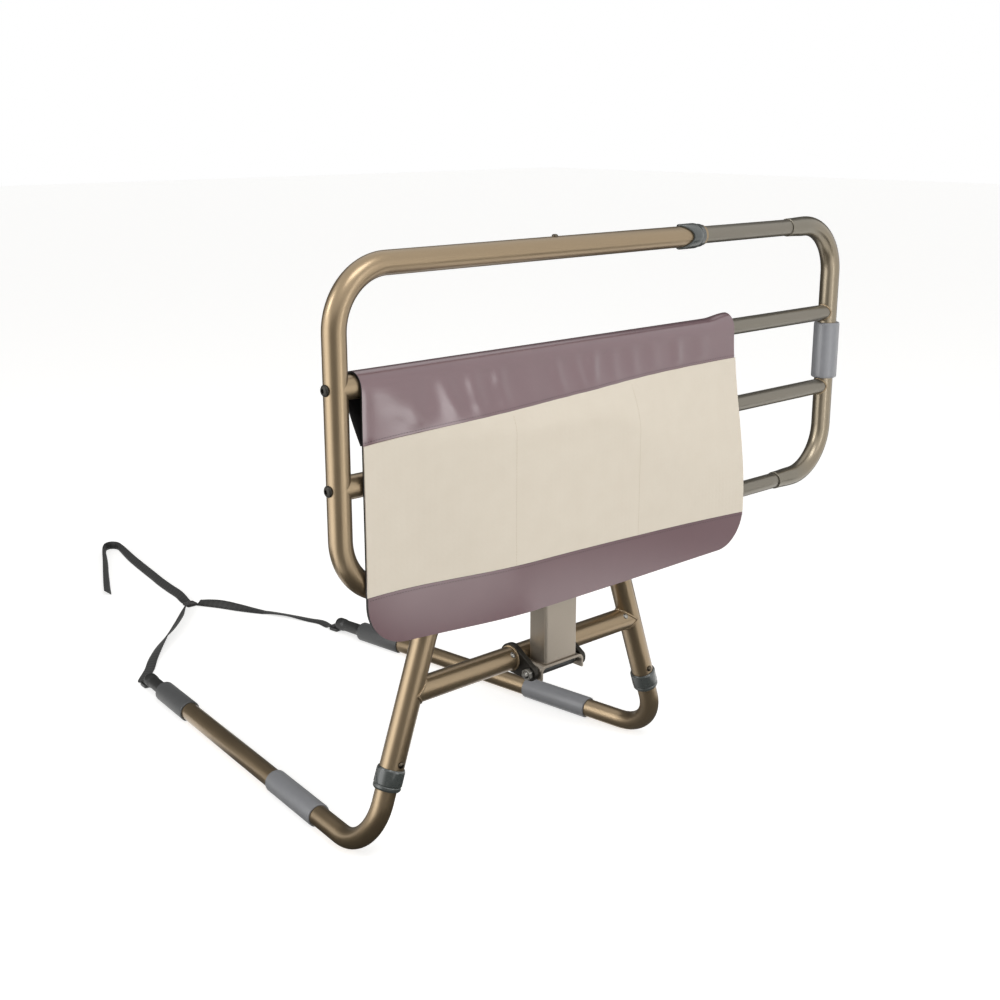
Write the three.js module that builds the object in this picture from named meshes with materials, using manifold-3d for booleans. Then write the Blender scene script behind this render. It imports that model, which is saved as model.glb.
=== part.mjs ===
// Folding bed guard rail, as a three.js scene graph in millimetres with +Z up.
// A telescoping tube rail stands in a rectangular post. The post sits on a hinged foot in front of
// a splayed tube frame, and two J-shaped legs run back along the floor, under the bed.
// X runs along the rail, +Y points under the bed, and Z = 0 is the floor.
import * as THREE from 'three';
import { mergeVertices } from 'three/addons/utils/BufferGeometryUtils.js';
import Module from 'manifold-3d';

const wasm = await Module();
wasm.setup();
const radians = THREE.MathUtils.degToRad;

// General clearances
const seatGap = 0.3;            // between pieces that touch
const runGap = 0.5;             // between pieces that slide or turn in each other
const cutOverrun = 2;           // how far a cutter runs past what it cuts
const weldOverlap = 0.5;        // how deep two forms of one piece run into each other

// Counts and steps
const tubeSides = 16;
const smallSides = 12;
const bendStepAngle = radians(15);
const cornerSteps = 3;
const footBendSteps = 5;

// Tubes
const tubeRadius = 12.7;
const baseRadius = 14;           // the base frame's tubes are heavier than the rail's
const railWall = 1;
const uprightWall = 1.2;
const legWall = 3;
const innerRoom = 1.2;          // room between an outer rail tube and the bar that slides in it
const innerWall = 0.9;
const innerRadius = tubeRadius - railWall - innerRoom;
const legRadius = baseRadius - uprightWall - runGap;

// Rail frame, measured between tube axes
const railHeight = 343;
const railOverFrame = 6.3;      // clear height between the base frame and the rail's bottom tube
const railLength = 837;         // from the left end bar to the right one, as set in the photograph
const railBend = 66;
const midInset = 120;           // from the top bar to the upper mid bar, and the same at the bottom

// Telescope
const outerReach = 561;         // end of the collars on the outer bars
const collarLength = 47;
const collarWall = 2.6;
const collarNoseShare = 0.3;
const lipLength = 4;
const buttonX = 304;
const buttonInset = 21;         // from the inner bar's end to the snap button
const innerStartX = buttonX - buttonInset;
const outerEndX = outerReach - lipLength - seatGap;
const neckLength = 16;
const neckWall = 1.1;
const endStraight = 22.4;       // of the end tube, between its neck and its bend
const neckStartX = railLength - railBend - endStraight - neckLength;
const retractTravel = neckStartX - 2 * seatGap - outerReach;
const gripWall = 4.6;
const gripLift = 12;            // from the lower mid bar's axis to the grip's lower end
const gripTopRoom = 14;         // from the grip's upper end to the upper mid bar's axis
const bushWall = 0.6;
const bushReach = 26;
const flangeLength = 3;
const glideStem = 8;
const plugLength = 32;
const midBoltRadius = 3;
const midHeadRadius = 7;
const midHeadHeight = 3.4;
const midHeadCrownShare = 0.9;

// Snap buttons
const buttonRadius = 3.5;
const buttonProud = 2.5;        // how far a button stands out of its tube
const buttonDome = 1;
const buttonRoom = 0.4;         // around a button in its hole

// Splayed base frame
const baseCentreX = 266.6;
const baseHalfSpread = 240.2;   // from its middle to where a leg turns, on the floor line
const splayAngle = radians(19.2);
const uprightTopZ = 285;
const uprightBend = 50;
const crossbarDrop = 95;        // from the frame's top tube down to the crossbar
const legCollarStart = 78;      // along the upright, from where the leg turns
const legCollarLength = 25;
const legCollarWall = 2.2;
const legButtonLift = 7;       // from the collar's top to the snap button

// J-shaped legs
const toeInAngle = radians(6.5);
const legBend = 60;
const legBarLength = 618;       // from where the leg turns to the end of its floor bar
const legTopRoom = 14.6;        // from the leg's top end inside the upright to the upright's bend
const legHolePitch = 30;
const legHoleCount = 4;
const sleeveWall = 2;
const frontSleeveStart = 115;
const frontSleeveLength = 110;
const rearSleeveLength = 87;
const rearSleeveInset = 52;     // from the bar's end to the rear sleeve
const sleeveLift = 0.15;        // the slit underside of a sleeve stays this far off the floor
const eyeWidth = 19;
const eyeLength = 14;
const eyeHeight = 5;
const eyeFloor = 0.4;
const eyeSlotWidth = 16;
const eyeSlotLength = 6.5;
const capFlange = 4;
const capStem = 16;
const capSkirtLength = 44;      // over the outside of the bar's end
const capSkirtWall = 1.4;

// Post, foot and pivot
const postCentreX = 281;
const postWidth = 51;
const postDepth = 28;
const postWall = 1.2;
const postCorner = 3;
const postRise = 14;            // from the lower mid bar's axis to the top of the cap
const postCapPlate = 3;
const postCapStem = 14;
const tongueWall = 2;
const tongueHeight = 92;
const footWidth = 69.4;
const footDepth = 25;
const footHeight = 17;
const footPlate = 3;
const footBend = 8;
const pivotForward = 32.3;      // from the crossbar's axis
const pivotDrop = 10;
const footRise = 9.3;           // from the pivot up to the post's lower end
const boltRadius = 4;
const boltHeadRadius = 7;
const boltHeadHeight = 4.5;
const nutRadius = 7.5;
const nutHeight = 6;
const boltTail = 3;
const pivotBushWall = 1.3;
const lugThickness = 6.5;
const lugEyeWall = 3.6;
const lugNoseRadius = 9.5;

// Cloth magazine pouch
const pouchLeftX = 20;
const pouchRightX = 611;
const pouchDrop = 55;           // below the rail's bottom tube
const pouchCorner = 48;
const pouchSheet = 2;           // backing with its lining
const pouchPanel = 1.5;         // pocket and hem in front of the backing
// The top band's seam climbs to the right, as shares of the way between the mid bars.
const pouchBandLeftShare = 0.573;
const pouchBandRightShare = 0.35;
// The hem's seam, from the bottom edge up.
const pouchHemLeft = 58;
const pouchHemRight = 42.7;
const pouchHemBow = 4;
const pouchLoopRoom = 1.2;      // around the upper mid bar
const pouchPostRoom = 0.7;      // between the post and the cloth
const pouchFold = 1.1;          // how far the soft folds of the top band stand out
const pouchFoldCount = 9;
const pouchFoldStartShare = 0.1;
const pouchPostShare = 0.37;    // of the width, where the cloth reaches the post
const pouchTurnShare = 0.52;    // of the width, where it starts to hang free again
const pouchLeanShare = 0.9;     // of the post's depth, at the right edge
const pouchOverPost = 16.7;     // above the post's cap, where it has come forward to the post
const pouchSlackShare = 0.78;   // of the height, where it is full at the right edge
const pouchColumns = 20;
const bandRows = 4;
const pocketRows = 7;
const hemRows = 4;
const loopSteps = 9;
const flapShares = [0, 0.5];    // from the seam up to the bar, along the back flap

// Webbing straps on the floor
const strapWidth = 15;
const strapThickness = 1.5;
const strapFloor = 0.2;
const strapSteps = 26;
const junctionX = 54;           // from the middle between the floor bars
const junctionY = 272;          // from the line through their ends
const junctionSize = 20;
const junctionHeight = 4;

// Shared geometry

// A path that keeps one station at each straight end and each step of a bend.
class StationPath extends THREE.Curve {
  constructor(stations) {
    super();
    this.stations = stations;
    this.steps = stations.length - 1;
  }
  at(u) {
    return this.stations[Math.round(u * this.steps)];
  }
  getPoint(t, target = new THREE.Vector3()) {
    return target.copy(this.at(t).point);
  }
  getPointAt(u, target = new THREE.Vector3()) {
    return target.copy(this.at(u).point);
  }
  getTangentAt(u, target = new THREE.Vector3()) {
    return target.copy(this.at(u).tangent);
  }
}

function bentPath(corners, bendRadius) {
  const aim = (from, to) => to.clone().sub(from).normalize();
  const stations = [{ point: corners[0], tangent: aim(corners[0], corners[1]) }];
  for (let i = 1; i < corners.length - 1; i += 1) {
    const into = aim(corners[i - 1], corners[i]);
    const out = aim(corners[i], corners[i + 1]);
    const turn = into.angleTo(out);
    const inward = out.clone().addScaledVector(into, -Math.cos(turn)).normalize();
    const start = corners[i].clone().addScaledVector(into, -bendRadius * Math.tan(turn / 2));
    const count = Math.ceil(turn / bendStepAngle);
    for (let k = 0; k <= count; k += 1) {
      const angle = (turn * k) / count;
      const point = start.clone()
        .addScaledVector(into, bendRadius * Math.sin(angle))
        .addScaledVector(inward, bendRadius * (1 - Math.cos(angle)));
      const tangent = into.clone().multiplyScalar(Math.cos(angle))
        .addScaledVector(inward, Math.sin(angle));
      stations.push({ point, tangent });
    }
  }
  const last = corners.length - 1;
  stations.push({ point: corners[last], tangent: aim(corners[last - 1], corners[last]) });
  return new StationPath(stations);
}

// The angle that puts a section's first corner at the underside of a path's end.
function undersideTurn(path) {
  const frames = path.computeFrenetFrames(path.steps, false);
  return Math.atan2(-frames.binormals[path.steps].z, -frames.normals[path.steps].z);
}

function ring(radius, sides, turn = 0) {
  return Array.from({ length: sides }, (_, i) => {
    const angle = turn + (i * 2 * Math.PI) / sides;
    return new THREE.Vector2(radius * Math.cos(angle), radius * Math.sin(angle));
  });
}

// A hole is drawn round its circle, so that its flats keep the full clearance.
const boreRadius = (radius, sides) => radius / Math.cos(Math.PI / sides);

function closed(geometry) {
  geometry.deleteAttribute('normal');
  geometry.deleteAttribute('uv');
  const merged = mergeVertices(geometry);
  const position = merged.attributes.position;
  const index = merged.index;
  const a = new THREE.Vector3();
  const b = new THREE.Vector3();
  const c = new THREE.Vector3();
  let volume = 0;
  for (let i = 0; i < index.count; i += 3) {
    a.fromBufferAttribute(position, index.getX(i));
    b.fromBufferAttribute(position, index.getX(i + 1));
    c.fromBufferAttribute(position, index.getX(i + 2));
    volume += a.dot(b.cross(c));
  }
  if (volume < 0) {
    for (let i = 0; i < index.count; i += 3) {
      const keep = index.getX(i);
      index.setX(i, index.getX(i + 2));
      index.setX(i + 2, keep);
    }
  }
  merged.computeVertexNormals();
  return merged;
}

function toSolid(geometry) {
  const mesh = geometry.index ? geometry : closed(geometry);
  return new wasm.Manifold(new wasm.Mesh({
    numProp: 3,
    vertProperties: new Float32Array(mesh.attributes.position.array),
    triVerts: new Uint32Array(mesh.index.array),
  }));
}

function fromSolid(solid) {
  const mesh = solid.getMesh();
  const geometry = new THREE.BufferGeometry();
  geometry.setAttribute('position', new THREE.BufferAttribute(mesh.vertProperties, 3));
  geometry.setIndex(new THREE.BufferAttribute(mesh.triVerts, 1));
  return closed(geometry);
}

function cut(geometry, ...tools) {
  return fromSolid(tools.reduce((solid, tool) => solid.subtract(toSolid(tool)), toSolid(geometry)));
}

function join(geometry, ...others) {
  return fromSolid(others.reduce((solid, other) => solid.add(toSolid(other)), toSolid(geometry)));
}

function sweep(outline, path) {
  return closed(new THREE.ExtrudeGeometry(outline, {
    steps: path.steps,
    extrudePath: path,
    bevelEnabled: false,
  }));
}

function tube(path, radius, wall, turn = 0) {
  const outline = new THREE.Shape(ring(radius, tubeSides, turn));
  outline.holes.push(new THREE.Path(ring(radius - wall, tubeSides, turn).reverse()));
  return sweep(outline, path);
}

function straightTube(from, to, radius, wall) {
  return tube(bentPath([from, to], 0), radius, wall);
}

// Turned pieces are drawn as [radius, distance along the axis] and stood on a point and direction.
function turned(profile, origin, axis, sides = tubeSides) {
  const points = profile.map(([radius, along]) => new THREE.Vector2(radius, along));
  const geometry = new THREE.LatheGeometry(points, sides);
  const upright = new THREE.Quaternion().setFromUnitVectors(new THREE.Vector3(0, 1, 0), axis);
  geometry.applyQuaternion(upright);
  geometry.translate(origin.x, origin.y, origin.z);
  return closed(geometry);
}

function rod(origin, axis, length, radius, sides = tubeSides) {
  return turned([[0, 0], [radius, 0], [radius, length], [0, length]], origin, axis, sides);
}

function box(lowX, highX, lowY, highY, lowZ, highZ) {
  const geometry = new THREE.BoxGeometry(highX - lowX, highY - lowY, highZ - lowZ);
  geometry.translate((lowX + highX) / 2, (lowY + highY) / 2, (lowZ + highZ) / 2);
  return closed(geometry);
}

function finish(colour, roughness, metalness) {
  return () => new THREE.MeshStandardMaterial({ color: colour, roughness, metalness });
}

function part(name, geometry, material) {
  const mesh = new THREE.Mesh(geometry, material());
  mesh.name = name;
  return mesh;
}

const at = (x, y, z) => new THREE.Vector3(x, y, z);
const alongX = at(1, 0, 0);
const againstX = at(-1, 0, 0);
const towardsFront = at(0, -1, 0);
const upwards = at(0, 0, 1);

// Finishes
const bronzePaint = finish(0x9a8263, 0.38, 0.55);
const greyPaint = finish(0x7f786b, 0.42, 0.5);
const footPaint = finish(0x9d968a, 0.45, 0.45);
const blackSteel = finish(0x2e2c29, 0.5, 0.4);
const darkPlastic = finish(0x4f5350, 0.55, 0);
const greyFoam = finish(0x96969a, 0.85, 0);
const darkFoam = finish(0x5f6060, 0.85, 0);
const maroonVinyl = finish(0x80666b, 0.45, 0);
const creamCloth = finish(0xddd3c2, 0.8, 0);
const blackWebbing = finish(0x3a3a38, 0.9, 0);
const zincSteel = finish(0xb9b8b2, 0.3, 0.9);

// Heights, from the base frame up
const crossbarZ = uprightTopZ - crossbarDrop;
// The base stands back so that its front is flush with the rail's.
const baseY = baseRadius - tubeRadius;
const pivotY = baseY - pivotForward;
const pivotZ = crossbarZ - pivotDrop;
const postBottomZ = pivotZ + footRise;
const railBottomZ = uprightTopZ + baseRadius + tubeRadius + railOverFrame;
const railTopZ = railBottomZ + railHeight;
const midTopZ = railTopZ - midInset;
const midLowZ = railBottomZ + midInset;
const gripHeight = midTopZ - gripTopRoom - midLowZ - gripLift;
const postTopZ = midLowZ + postRise;
const pouchBottomZ = railBottomZ - pouchDrop;

// Base frame

// One side of the base: side is -1 for the left leg and 1 for the right one.
function legLine(side) {
  const corner = at(baseCentreX + side * baseHalfSpread, baseY, legRadius);
  const rise = at(-side * Math.sin(splayAngle), 0, Math.cos(splayAngle));
  const bar = at(-side * Math.sin(toeInAngle), Math.cos(toeInAngle), 0);
  return {
    corner,
    rise,
    bar,
    up: (distance) => corner.clone().addScaledVector(rise, distance),
    back: (distance) => corner.clone().addScaledVector(bar, distance),
  };
}

const uprightStart = legCollarStart + lipLength + seatGap;
const legButtonAt = legCollarStart + legCollarLength + legButtonLift;
const uprightHeightTo = (z) => (z - legRadius) / Math.cos(splayAngle);
const uprightBendReach = uprightBend * Math.tan((Math.PI / 2 - splayAngle) / 2);
const legInside = uprightHeightTo(uprightTopZ) - uprightBendReach - legTopRoom;

function buttonHole(origin, axis, radius) {
  return rod(origin, axis, radius + cutOverrun, buttonRadius + buttonRoom, smallSides);
}

function uprightFrame() {
  const left = legLine(-1);
  const right = legLine(1);
  const corners = [
    left.up(uprightStart),
    left.up(uprightHeightTo(uprightTopZ)),
    right.up(uprightHeightTo(uprightTopZ)),
    right.up(uprightStart),
  ];
  const frame = tube(bentPath(corners, uprightBend), baseRadius, uprightWall);
  const holes = [left, right].map((line) => buttonHole(line.up(legButtonAt), towardsFront, baseRadius));
  return cut(frame, ...holes);
}

function crossbar() {
  const left = legLine(-1);
  const right = legLine(1);
  const height = uprightHeightTo(crossbarZ);
  const bar = straightTube(left.up(height), right.up(height), baseRadius, uprightWall);
  const seats = [left, right].map((line) => {
    const reach = height + 2 * (baseRadius + cutOverrun);
    return rod(line.corner, line.rise, reach, boreRadius(baseRadius + seatGap, tubeSides));
  });
  return cut(bar, ...seats);
}

function legCollar(side) {
  const line = legLine(side);
  const outer = baseRadius + legCollarWall;
  const bore = boreRadius(baseRadius + seatGap, tubeSides);
  const lipBore = boreRadius(legRadius + runGap, tubeSides);
  const chamfer = lipLength / 2;
  const profile = [
    [lipBore, 0],
    [outer - chamfer, 0],
    [outer, chamfer],
    [outer, legCollarLength - chamfer],
    [outer - chamfer / 2, legCollarLength],
    [bore, legCollarLength],
    [bore, lipLength],
    [lipBore, lipLength],
    [lipBore, 0],
  ];
  return turned(profile, line.up(legCollarStart), line.rise);
}

// A button stands on its base just inside the outer tube's wall.
function snapButton(axisPoint, direction, outerRadius, wall) {
  const base = outerRadius - wall + seatGap;
  const top = outerRadius + buttonProud;
  const profile = [
    [0, base],
    [buttonRadius, base],
    [buttonRadius, top - buttonDome],
    [buttonRadius - buttonDome / 2, top - buttonDome / 4],
    [0, top],
  ];
  return turned(profile, axisPoint, direction, smallSides);
}

// Pivot

const pivotPoint = at(postCentreX, pivotY, pivotZ);
const footHalf = footWidth / 2;
const lugInnerX = footHalf + 2 * seatGap;
const lugOuterX = lugInnerX + lugThickness;

// A plate welded on the crossbar that reaches forward to carry the pivot bolt.
function pivotLug(side) {
  const eyeRadius = baseRadius + lugEyeWall;
  const reach = Math.hypot(pivotY - baseY, pivotZ - crossbarZ);
  const lean = Math.asin((eyeRadius - lugNoseRadius) / reach);
  const heading = Math.atan2(pivotZ - crossbarZ, pivotY - baseY);
  const outline = new THREE.Shape();
  const side1 = heading + Math.PI / 2 - lean;
  const side2 = heading - Math.PI / 2 + lean;
  outline.absarc(baseY, crossbarZ, eyeRadius, side1, side2 + 2 * Math.PI, false);
  outline.absarc(pivotY, pivotZ, lugNoseRadius, side2, side1, false);
  const extruded = new THREE.ExtrudeGeometry(outline, {
    depth: lugThickness,
    bevelEnabled: false,
    curveSegments: tubeSides / 2,
  });
  // The outline is drawn as (Y, Z) and extruded along X.
  extruded.applyMatrix4(new THREE.Matrix4().makeBasis(at(0, 1, 0), upwards, alongX));
  const startX = side < 0 ? postCentreX - lugOuterX : postCentreX + lugInnerX;
  extruded.translate(startX, 0, 0);
  const through = lugThickness + 2 * cutOverrun;
  const fromX = startX - cutOverrun;
  return cut(
    closed(extruded),
    rod(at(fromX, baseY, crossbarZ), alongX, through, boreRadius(baseRadius + seatGap, tubeSides)),
    rod(at(fromX, pivotY, pivotZ), alongX, through, boreRadius(boltRadius + seatGap, smallSides)),
  );
}

function pivotBolt() {
  const headX = lugOuterX + seatGap;
  const length = headX + lugOuterX + seatGap + nutHeight + boltTail;
  const profile = [
    [0, -boltHeadHeight],
    [boltHeadRadius / 2, -boltHeadHeight],
    [boltHeadRadius, -boltHeadHeight / 3],
    [boltHeadRadius, 0],
    [boltRadius, 0],
    [boltRadius, length],
    [0, length],
  ];
  return turned(profile, pivotPoint.clone().addScaledVector(alongX, headX), againstX, smallSides);
}

function pivotNut() {
  const outline = new THREE.Shape(ring(nutRadius, 6));
  outline.holes.push(new THREE.Path(ring(boreRadius(boltRadius + seatGap, smallSides), smallSides)));
  const nut = new THREE.ExtrudeGeometry(outline, { depth: nutHeight, bevelEnabled: false });
  nut.applyMatrix4(new THREE.Matrix4().makeBasis(at(0, 1, 0), upwards, alongX));
  nut.translate(postCentreX - lugOuterX - seatGap - nutHeight, pivotY, pivotZ);
  return closed(nut);
}

// The folded plate channel under the post: a flat top with an ear turned down at each end.
function footBracket() {
  const top = postBottomZ - seatGap;
  const outerBend = footBend;
  const innerBend = footBend - footPlate;
  const outline = new THREE.Shape();
  outline.moveTo(-footHalf, -footHeight);
  outline.lineTo(-footHalf + footPlate, -footHeight);
  outline.lineTo(-footHalf + footPlate, -outerBend);
  outline.absarc(-footHalf + outerBend, -outerBend, innerBend, Math.PI, Math.PI / 2, true);
  outline.absarc(footHalf - outerBend, -outerBend, innerBend, Math.PI / 2, 0, true);
  outline.lineTo(footHalf - footPlate, -footHeight);
  outline.lineTo(footHalf, -footHeight);
  outline.absarc(footHalf - outerBend, -outerBend, outerBend, 0, Math.PI / 2, false);
  outline.absarc(-footHalf + outerBend, -outerBend, outerBend, Math.PI / 2, Math.PI, false);
  const bracket = new THREE.ExtrudeGeometry(outline, {
    depth: footDepth,
    bevelEnabled: false,
    curveSegments: footBendSteps,
  });
  bracket.applyMatrix4(new THREE.Matrix4().makeBasis(alongX, upwards, towardsFront));
  bracket.translate(postCentreX, pivotY + footDepth / 2, top);
  const holeStart = pivotPoint.clone().addScaledVector(alongX, -footHalf - cutOverrun);
  const holeLength = footWidth + 2 * cutOverrun;
  const hole = rod(holeStart, alongX, holeLength, boreRadius(boltRadius + seatGap, smallSides), smallSides);
  return cut(closed(bracket), hole);
}

function pivotBush() {
  const inner = boreRadius(boltRadius + seatGap, smallSides);
  const outer = inner + pivotBushWall;
  const length = footWidth - 2 * footBend;
  const profile = [[inner, 0], [outer, 0], [outer, length], [inner, length], [inner, 0]];
  return turned(profile, pivotPoint.clone().addScaledVector(alongX, -length / 2), alongX, smallSides);
}

// Post

const postBackY = -tubeRadius - seatGap;
const postCentreY = postBackY - postDepth / 2;

function roundedBox(width, depth, corner) {
  const x = width / 2 - corner;
  const y = depth / 2 - corner;
  const outline = new THREE.Shape();
  outline.absarc(x, y, corner, 0, Math.PI / 2, false);
  outline.absarc(-x, y, corner, Math.PI / 2, Math.PI, false);
  outline.absarc(-x, -y, corner, Math.PI, Math.PI * 1.5, false);
  outline.absarc(x, -y, corner, Math.PI * 1.5, Math.PI * 2, false);
  return outline;
}

function postPrism(outline, lowZ, highZ) {
  const solid = new THREE.ExtrudeGeometry(outline, {
    depth: highZ - lowZ,
    bevelEnabled: false,
    curveSegments: cornerSteps,
  });
  solid.translate(postCentreX, postCentreY, lowZ);
  return closed(solid);
}

function squareTube(width, depth, wall, corner, lowZ, highZ) {
  const outline = roundedBox(width, depth, corner);
  outline.holes.push(roundedBox(width - 2 * wall, depth - 2 * wall, corner - wall / 2));
  return postPrism(outline, lowZ, highZ);
}

function post() {
  const top = postTopZ - postCapPlate - seatGap;
  return squareTube(postWidth, postDepth, postWall, postCorner, postBottomZ, top);
}

function postCap() {
  const shrink = 2 * (postWall + seatGap);
  const underside = postTopZ - postCapPlate;
  const stem = roundedBox(postWidth - shrink, postDepth - shrink, postCorner - postWall / 2);
  return join(
    postPrism(roundedBox(postWidth, postDepth, postCorner), underside, postTopZ),
    postPrism(stem, underside - postCapStem, underside + postCapPlate / 2),
  );
}

function postTongue() {
  const shrink = 2 * (postWall + runGap);
  const corner = postCorner - postWall / 2;
  return squareTube(
    postWidth - shrink,
    postDepth - shrink,
    tongueWall,
    corner,
    postBottomZ,
    postBottomZ + tongueHeight,
  );
}

// Sliding rail

const endBarX = railLength;

function railOuterFrame() {
  const corners = [
    at(outerEndX, 0, railTopZ),
    at(0, 0, railTopZ),
    at(0, 0, railBottomZ),
    at(outerEndX, 0, railBottomZ),
  ];
  const frame = tube(bentPath(corners, railBend), tubeRadius, railWall);
  const holes = [midTopZ, midLowZ].map((z) => {
    const start = at(-tubeRadius - cutOverrun, 0, z);
    return rod(start, alongX, 2 * (tubeRadius + cutOverrun), midBoltRadius + buttonRoom, smallSides);
  });
  return cut(frame, ...holes, buttonHole(at(buttonX, 0, railTopZ), upwards, tubeRadius));
}

// The cutter that shapes a bar's end to the upright tube that it is welded to.
function seatRound(centre) {
  const half = tubeRadius + cutOverrun;
  const start = centre.clone().addScaledVector(upwards, -half);
  return rod(start, upwards, 2 * half, boreRadius(tubeRadius + seatGap, tubeSides));
}

function midRail(z) {
  const bar = straightTube(at(0, 0, z), at(outerEndX, 0, z), tubeRadius, railWall);
  return cut(bar, seatRound(at(0, 0, z)));
}

function midPlug(z) {
  const start = tubeRadius + 2 * seatGap;
  const outer = tubeRadius - railWall - seatGap;
  const bore = boreRadius(midBoltRadius + seatGap, smallSides);
  const profile = [
    [bore, 0],
    [outer, 0],
    [outer, plugLength],
    [bore, plugLength],
    [bore, 0],
  ];
  return turned(profile, at(start, 0, z), alongX);
}

function midBolt(z) {
  const seat = -tubeRadius - seatGap;
  const length = 2 * tubeRadius + plugLength;
  const profile = [
    [0, -midHeadHeight],
    [midHeadRadius / 2, -midHeadHeight * midHeadCrownShare],
    [midHeadRadius, -midHeadHeight / 3],
    [midHeadRadius, 0],
    [midBoltRadius, 0],
    [midBoltRadius, length],
    [0, length],
  ];
  return turned(profile, at(seat, 0, z), alongX, smallSides);
}

function railCollar(z) {
  const outer = tubeRadius + collarWall;
  const nose = outer - collarWall / 2;
  const bore = boreRadius(tubeRadius + seatGap, tubeSides);
  const lipBore = boreRadius(innerRadius + seatGap, tubeSides);
  const noseAt = collarLength * (1 - collarNoseShare);
  const round = collarWall / 3;
  const profile = [
    [bore, 0],
    [outer - round, 0],
    [outer, round],
    [outer, noseAt],
    [nose, noseAt + round],
    [nose, collarLength - round],
    [nose - round, collarLength],
    [lipBore, collarLength],
    [lipBore, collarLength - lipLength],
    [bore, collarLength - lipLength],
    [bore, 0],
  ];
  return turned(profile, at(outerReach - collarLength, 0, z), alongX);
}

function midBush(z) {
  const bore = boreRadius(innerRadius + seatGap, tubeSides);
  const sleeve = bore + bushWall;
  const flange = tubeRadius;
  const profile = [
    [bore, -bushReach],
    [sleeve, -bushReach],
    [sleeve, seatGap],
    [flange, seatGap],
    [flange, flangeLength],
    [bore, flangeLength],
    [bore, -bushReach],
  ];
  return turned(profile, at(outerEndX, 0, z), alongX);
}

function glide(z) {
  const flange = tubeRadius - railWall - seatGap;
  const stem = innerRadius - innerWall - seatGap;
  const profile = [
    [0, -flangeLength],
    [flange, -flangeLength],
    [flange, -seatGap],
    [stem, -seatGap],
    [stem, glideStem],
    [0, glideStem],
  ];
  return turned(profile, at(innerStartX, 0, z), alongX);
}

// The right end bends in a C, and each end is drawn down to a neck that holds an inner bar.
function endFrame() {
  const tubeStart = neckStartX + neckLength;
  const corners = [
    at(tubeStart, 0, railTopZ),
    at(endBarX, 0, railTopZ),
    at(endBarX, 0, railBottomZ),
    at(tubeStart, 0, railBottomZ),
  ];
  const frame = tube(bentPath(corners, railBend), tubeRadius, railWall);
  const bore = boreRadius(innerRadius + seatGap, tubeSides);
  const taper = neckLength / 3;
  const profile = [
    [bore, 0],
    [bore + neckWall, 0],
    [bore + neckWall, neckLength - taper],
    [tubeRadius, neckLength],
    [tubeRadius, neckLength + weldOverlap],
    [tubeRadius - railWall, neckLength + weldOverlap],
    [bore, neckLength - taper],
    [bore, 0],
  ];
  const necks = [railTopZ, railBottomZ].map((z) => turned(profile, at(neckStartX, 0, z), alongX));
  return join(frame, ...necks);
}

function innerBar(z) {
  const end = neckStartX + neckLength;
  return straightTube(at(innerStartX, 0, z), at(end, 0, z), innerRadius, innerWall);
}

// The top inner bar has a hole under the snap button where the rail is set, and one for its short setting.
function innerTopBar() {
  const stops = [buttonX, buttonX + retractTravel];
  const holes = stops.map((x) => buttonHole(at(x, 0, railTopZ), upwards, tubeRadius));
  return cut(innerBar(railTopZ), ...holes);
}

function innerMidBar(z) {
  const bar = straightTube(at(innerStartX, 0, z), at(endBarX, 0, z), innerRadius, innerWall);
  return cut(bar, seatRound(at(endBarX, 0, z)));
}

function gripSleeve() {
  const bore = boreRadius(tubeRadius + seatGap, tubeSides);
  const outer = tubeRadius + gripWall;
  const round = gripWall / 3;
  const profile = [
    [bore, 0],
    [outer - round, 0],
    [outer, round],
    [outer, gripHeight - round],
    [outer - round, gripHeight],
    [bore, gripHeight],
    [bore, 0],
  ];
  return turned(profile, at(endBarX, 0, midLowZ + gripLift), upwards);
}

// Legs

function leg(side) {
  const line = legLine(side);
  const path = bentPath([line.up(legInside), line.corner, line.back(legBarLength)], legBend);
  const bent = tube(path, legRadius, legWall, undersideTurn(path));
  const holes = Array.from({ length: legHoleCount }, (_, i) => (
    buttonHole(line.up(legButtonAt + i * legHolePitch), towardsFront, baseRadius)
  ));
  return cut(bent, ...holes);
}

// What is cut from a sleeve round a floor bar, so that the bar itself bears on the floor.
function floorUnder(middle, reach) {
  return box(middle.x - reach, middle.x + reach, middle.y - reach, middle.y + reach, -reach, sleeveLift);
}

// A foam sleeve slit along its underside.
function legSleeve(side, start, length) {
  const line = legLine(side);
  const bore = boreRadius(legRadius + seatGap, tubeSides);
  const outer = legRadius + seatGap + sleeveWall;
  const round = sleeveWall / 3;
  const profile = [
    [bore, 0],
    [outer - round, 0],
    [outer, round],
    [outer, length - round],
    [outer - round, length],
    [bore, length],
    [bore, 0],
  ];
  const sleeve = turned(profile, line.back(start), line.bar);
  return cut(sleeve, floorUnder(line.back(start + length / 2), length));
}

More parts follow.
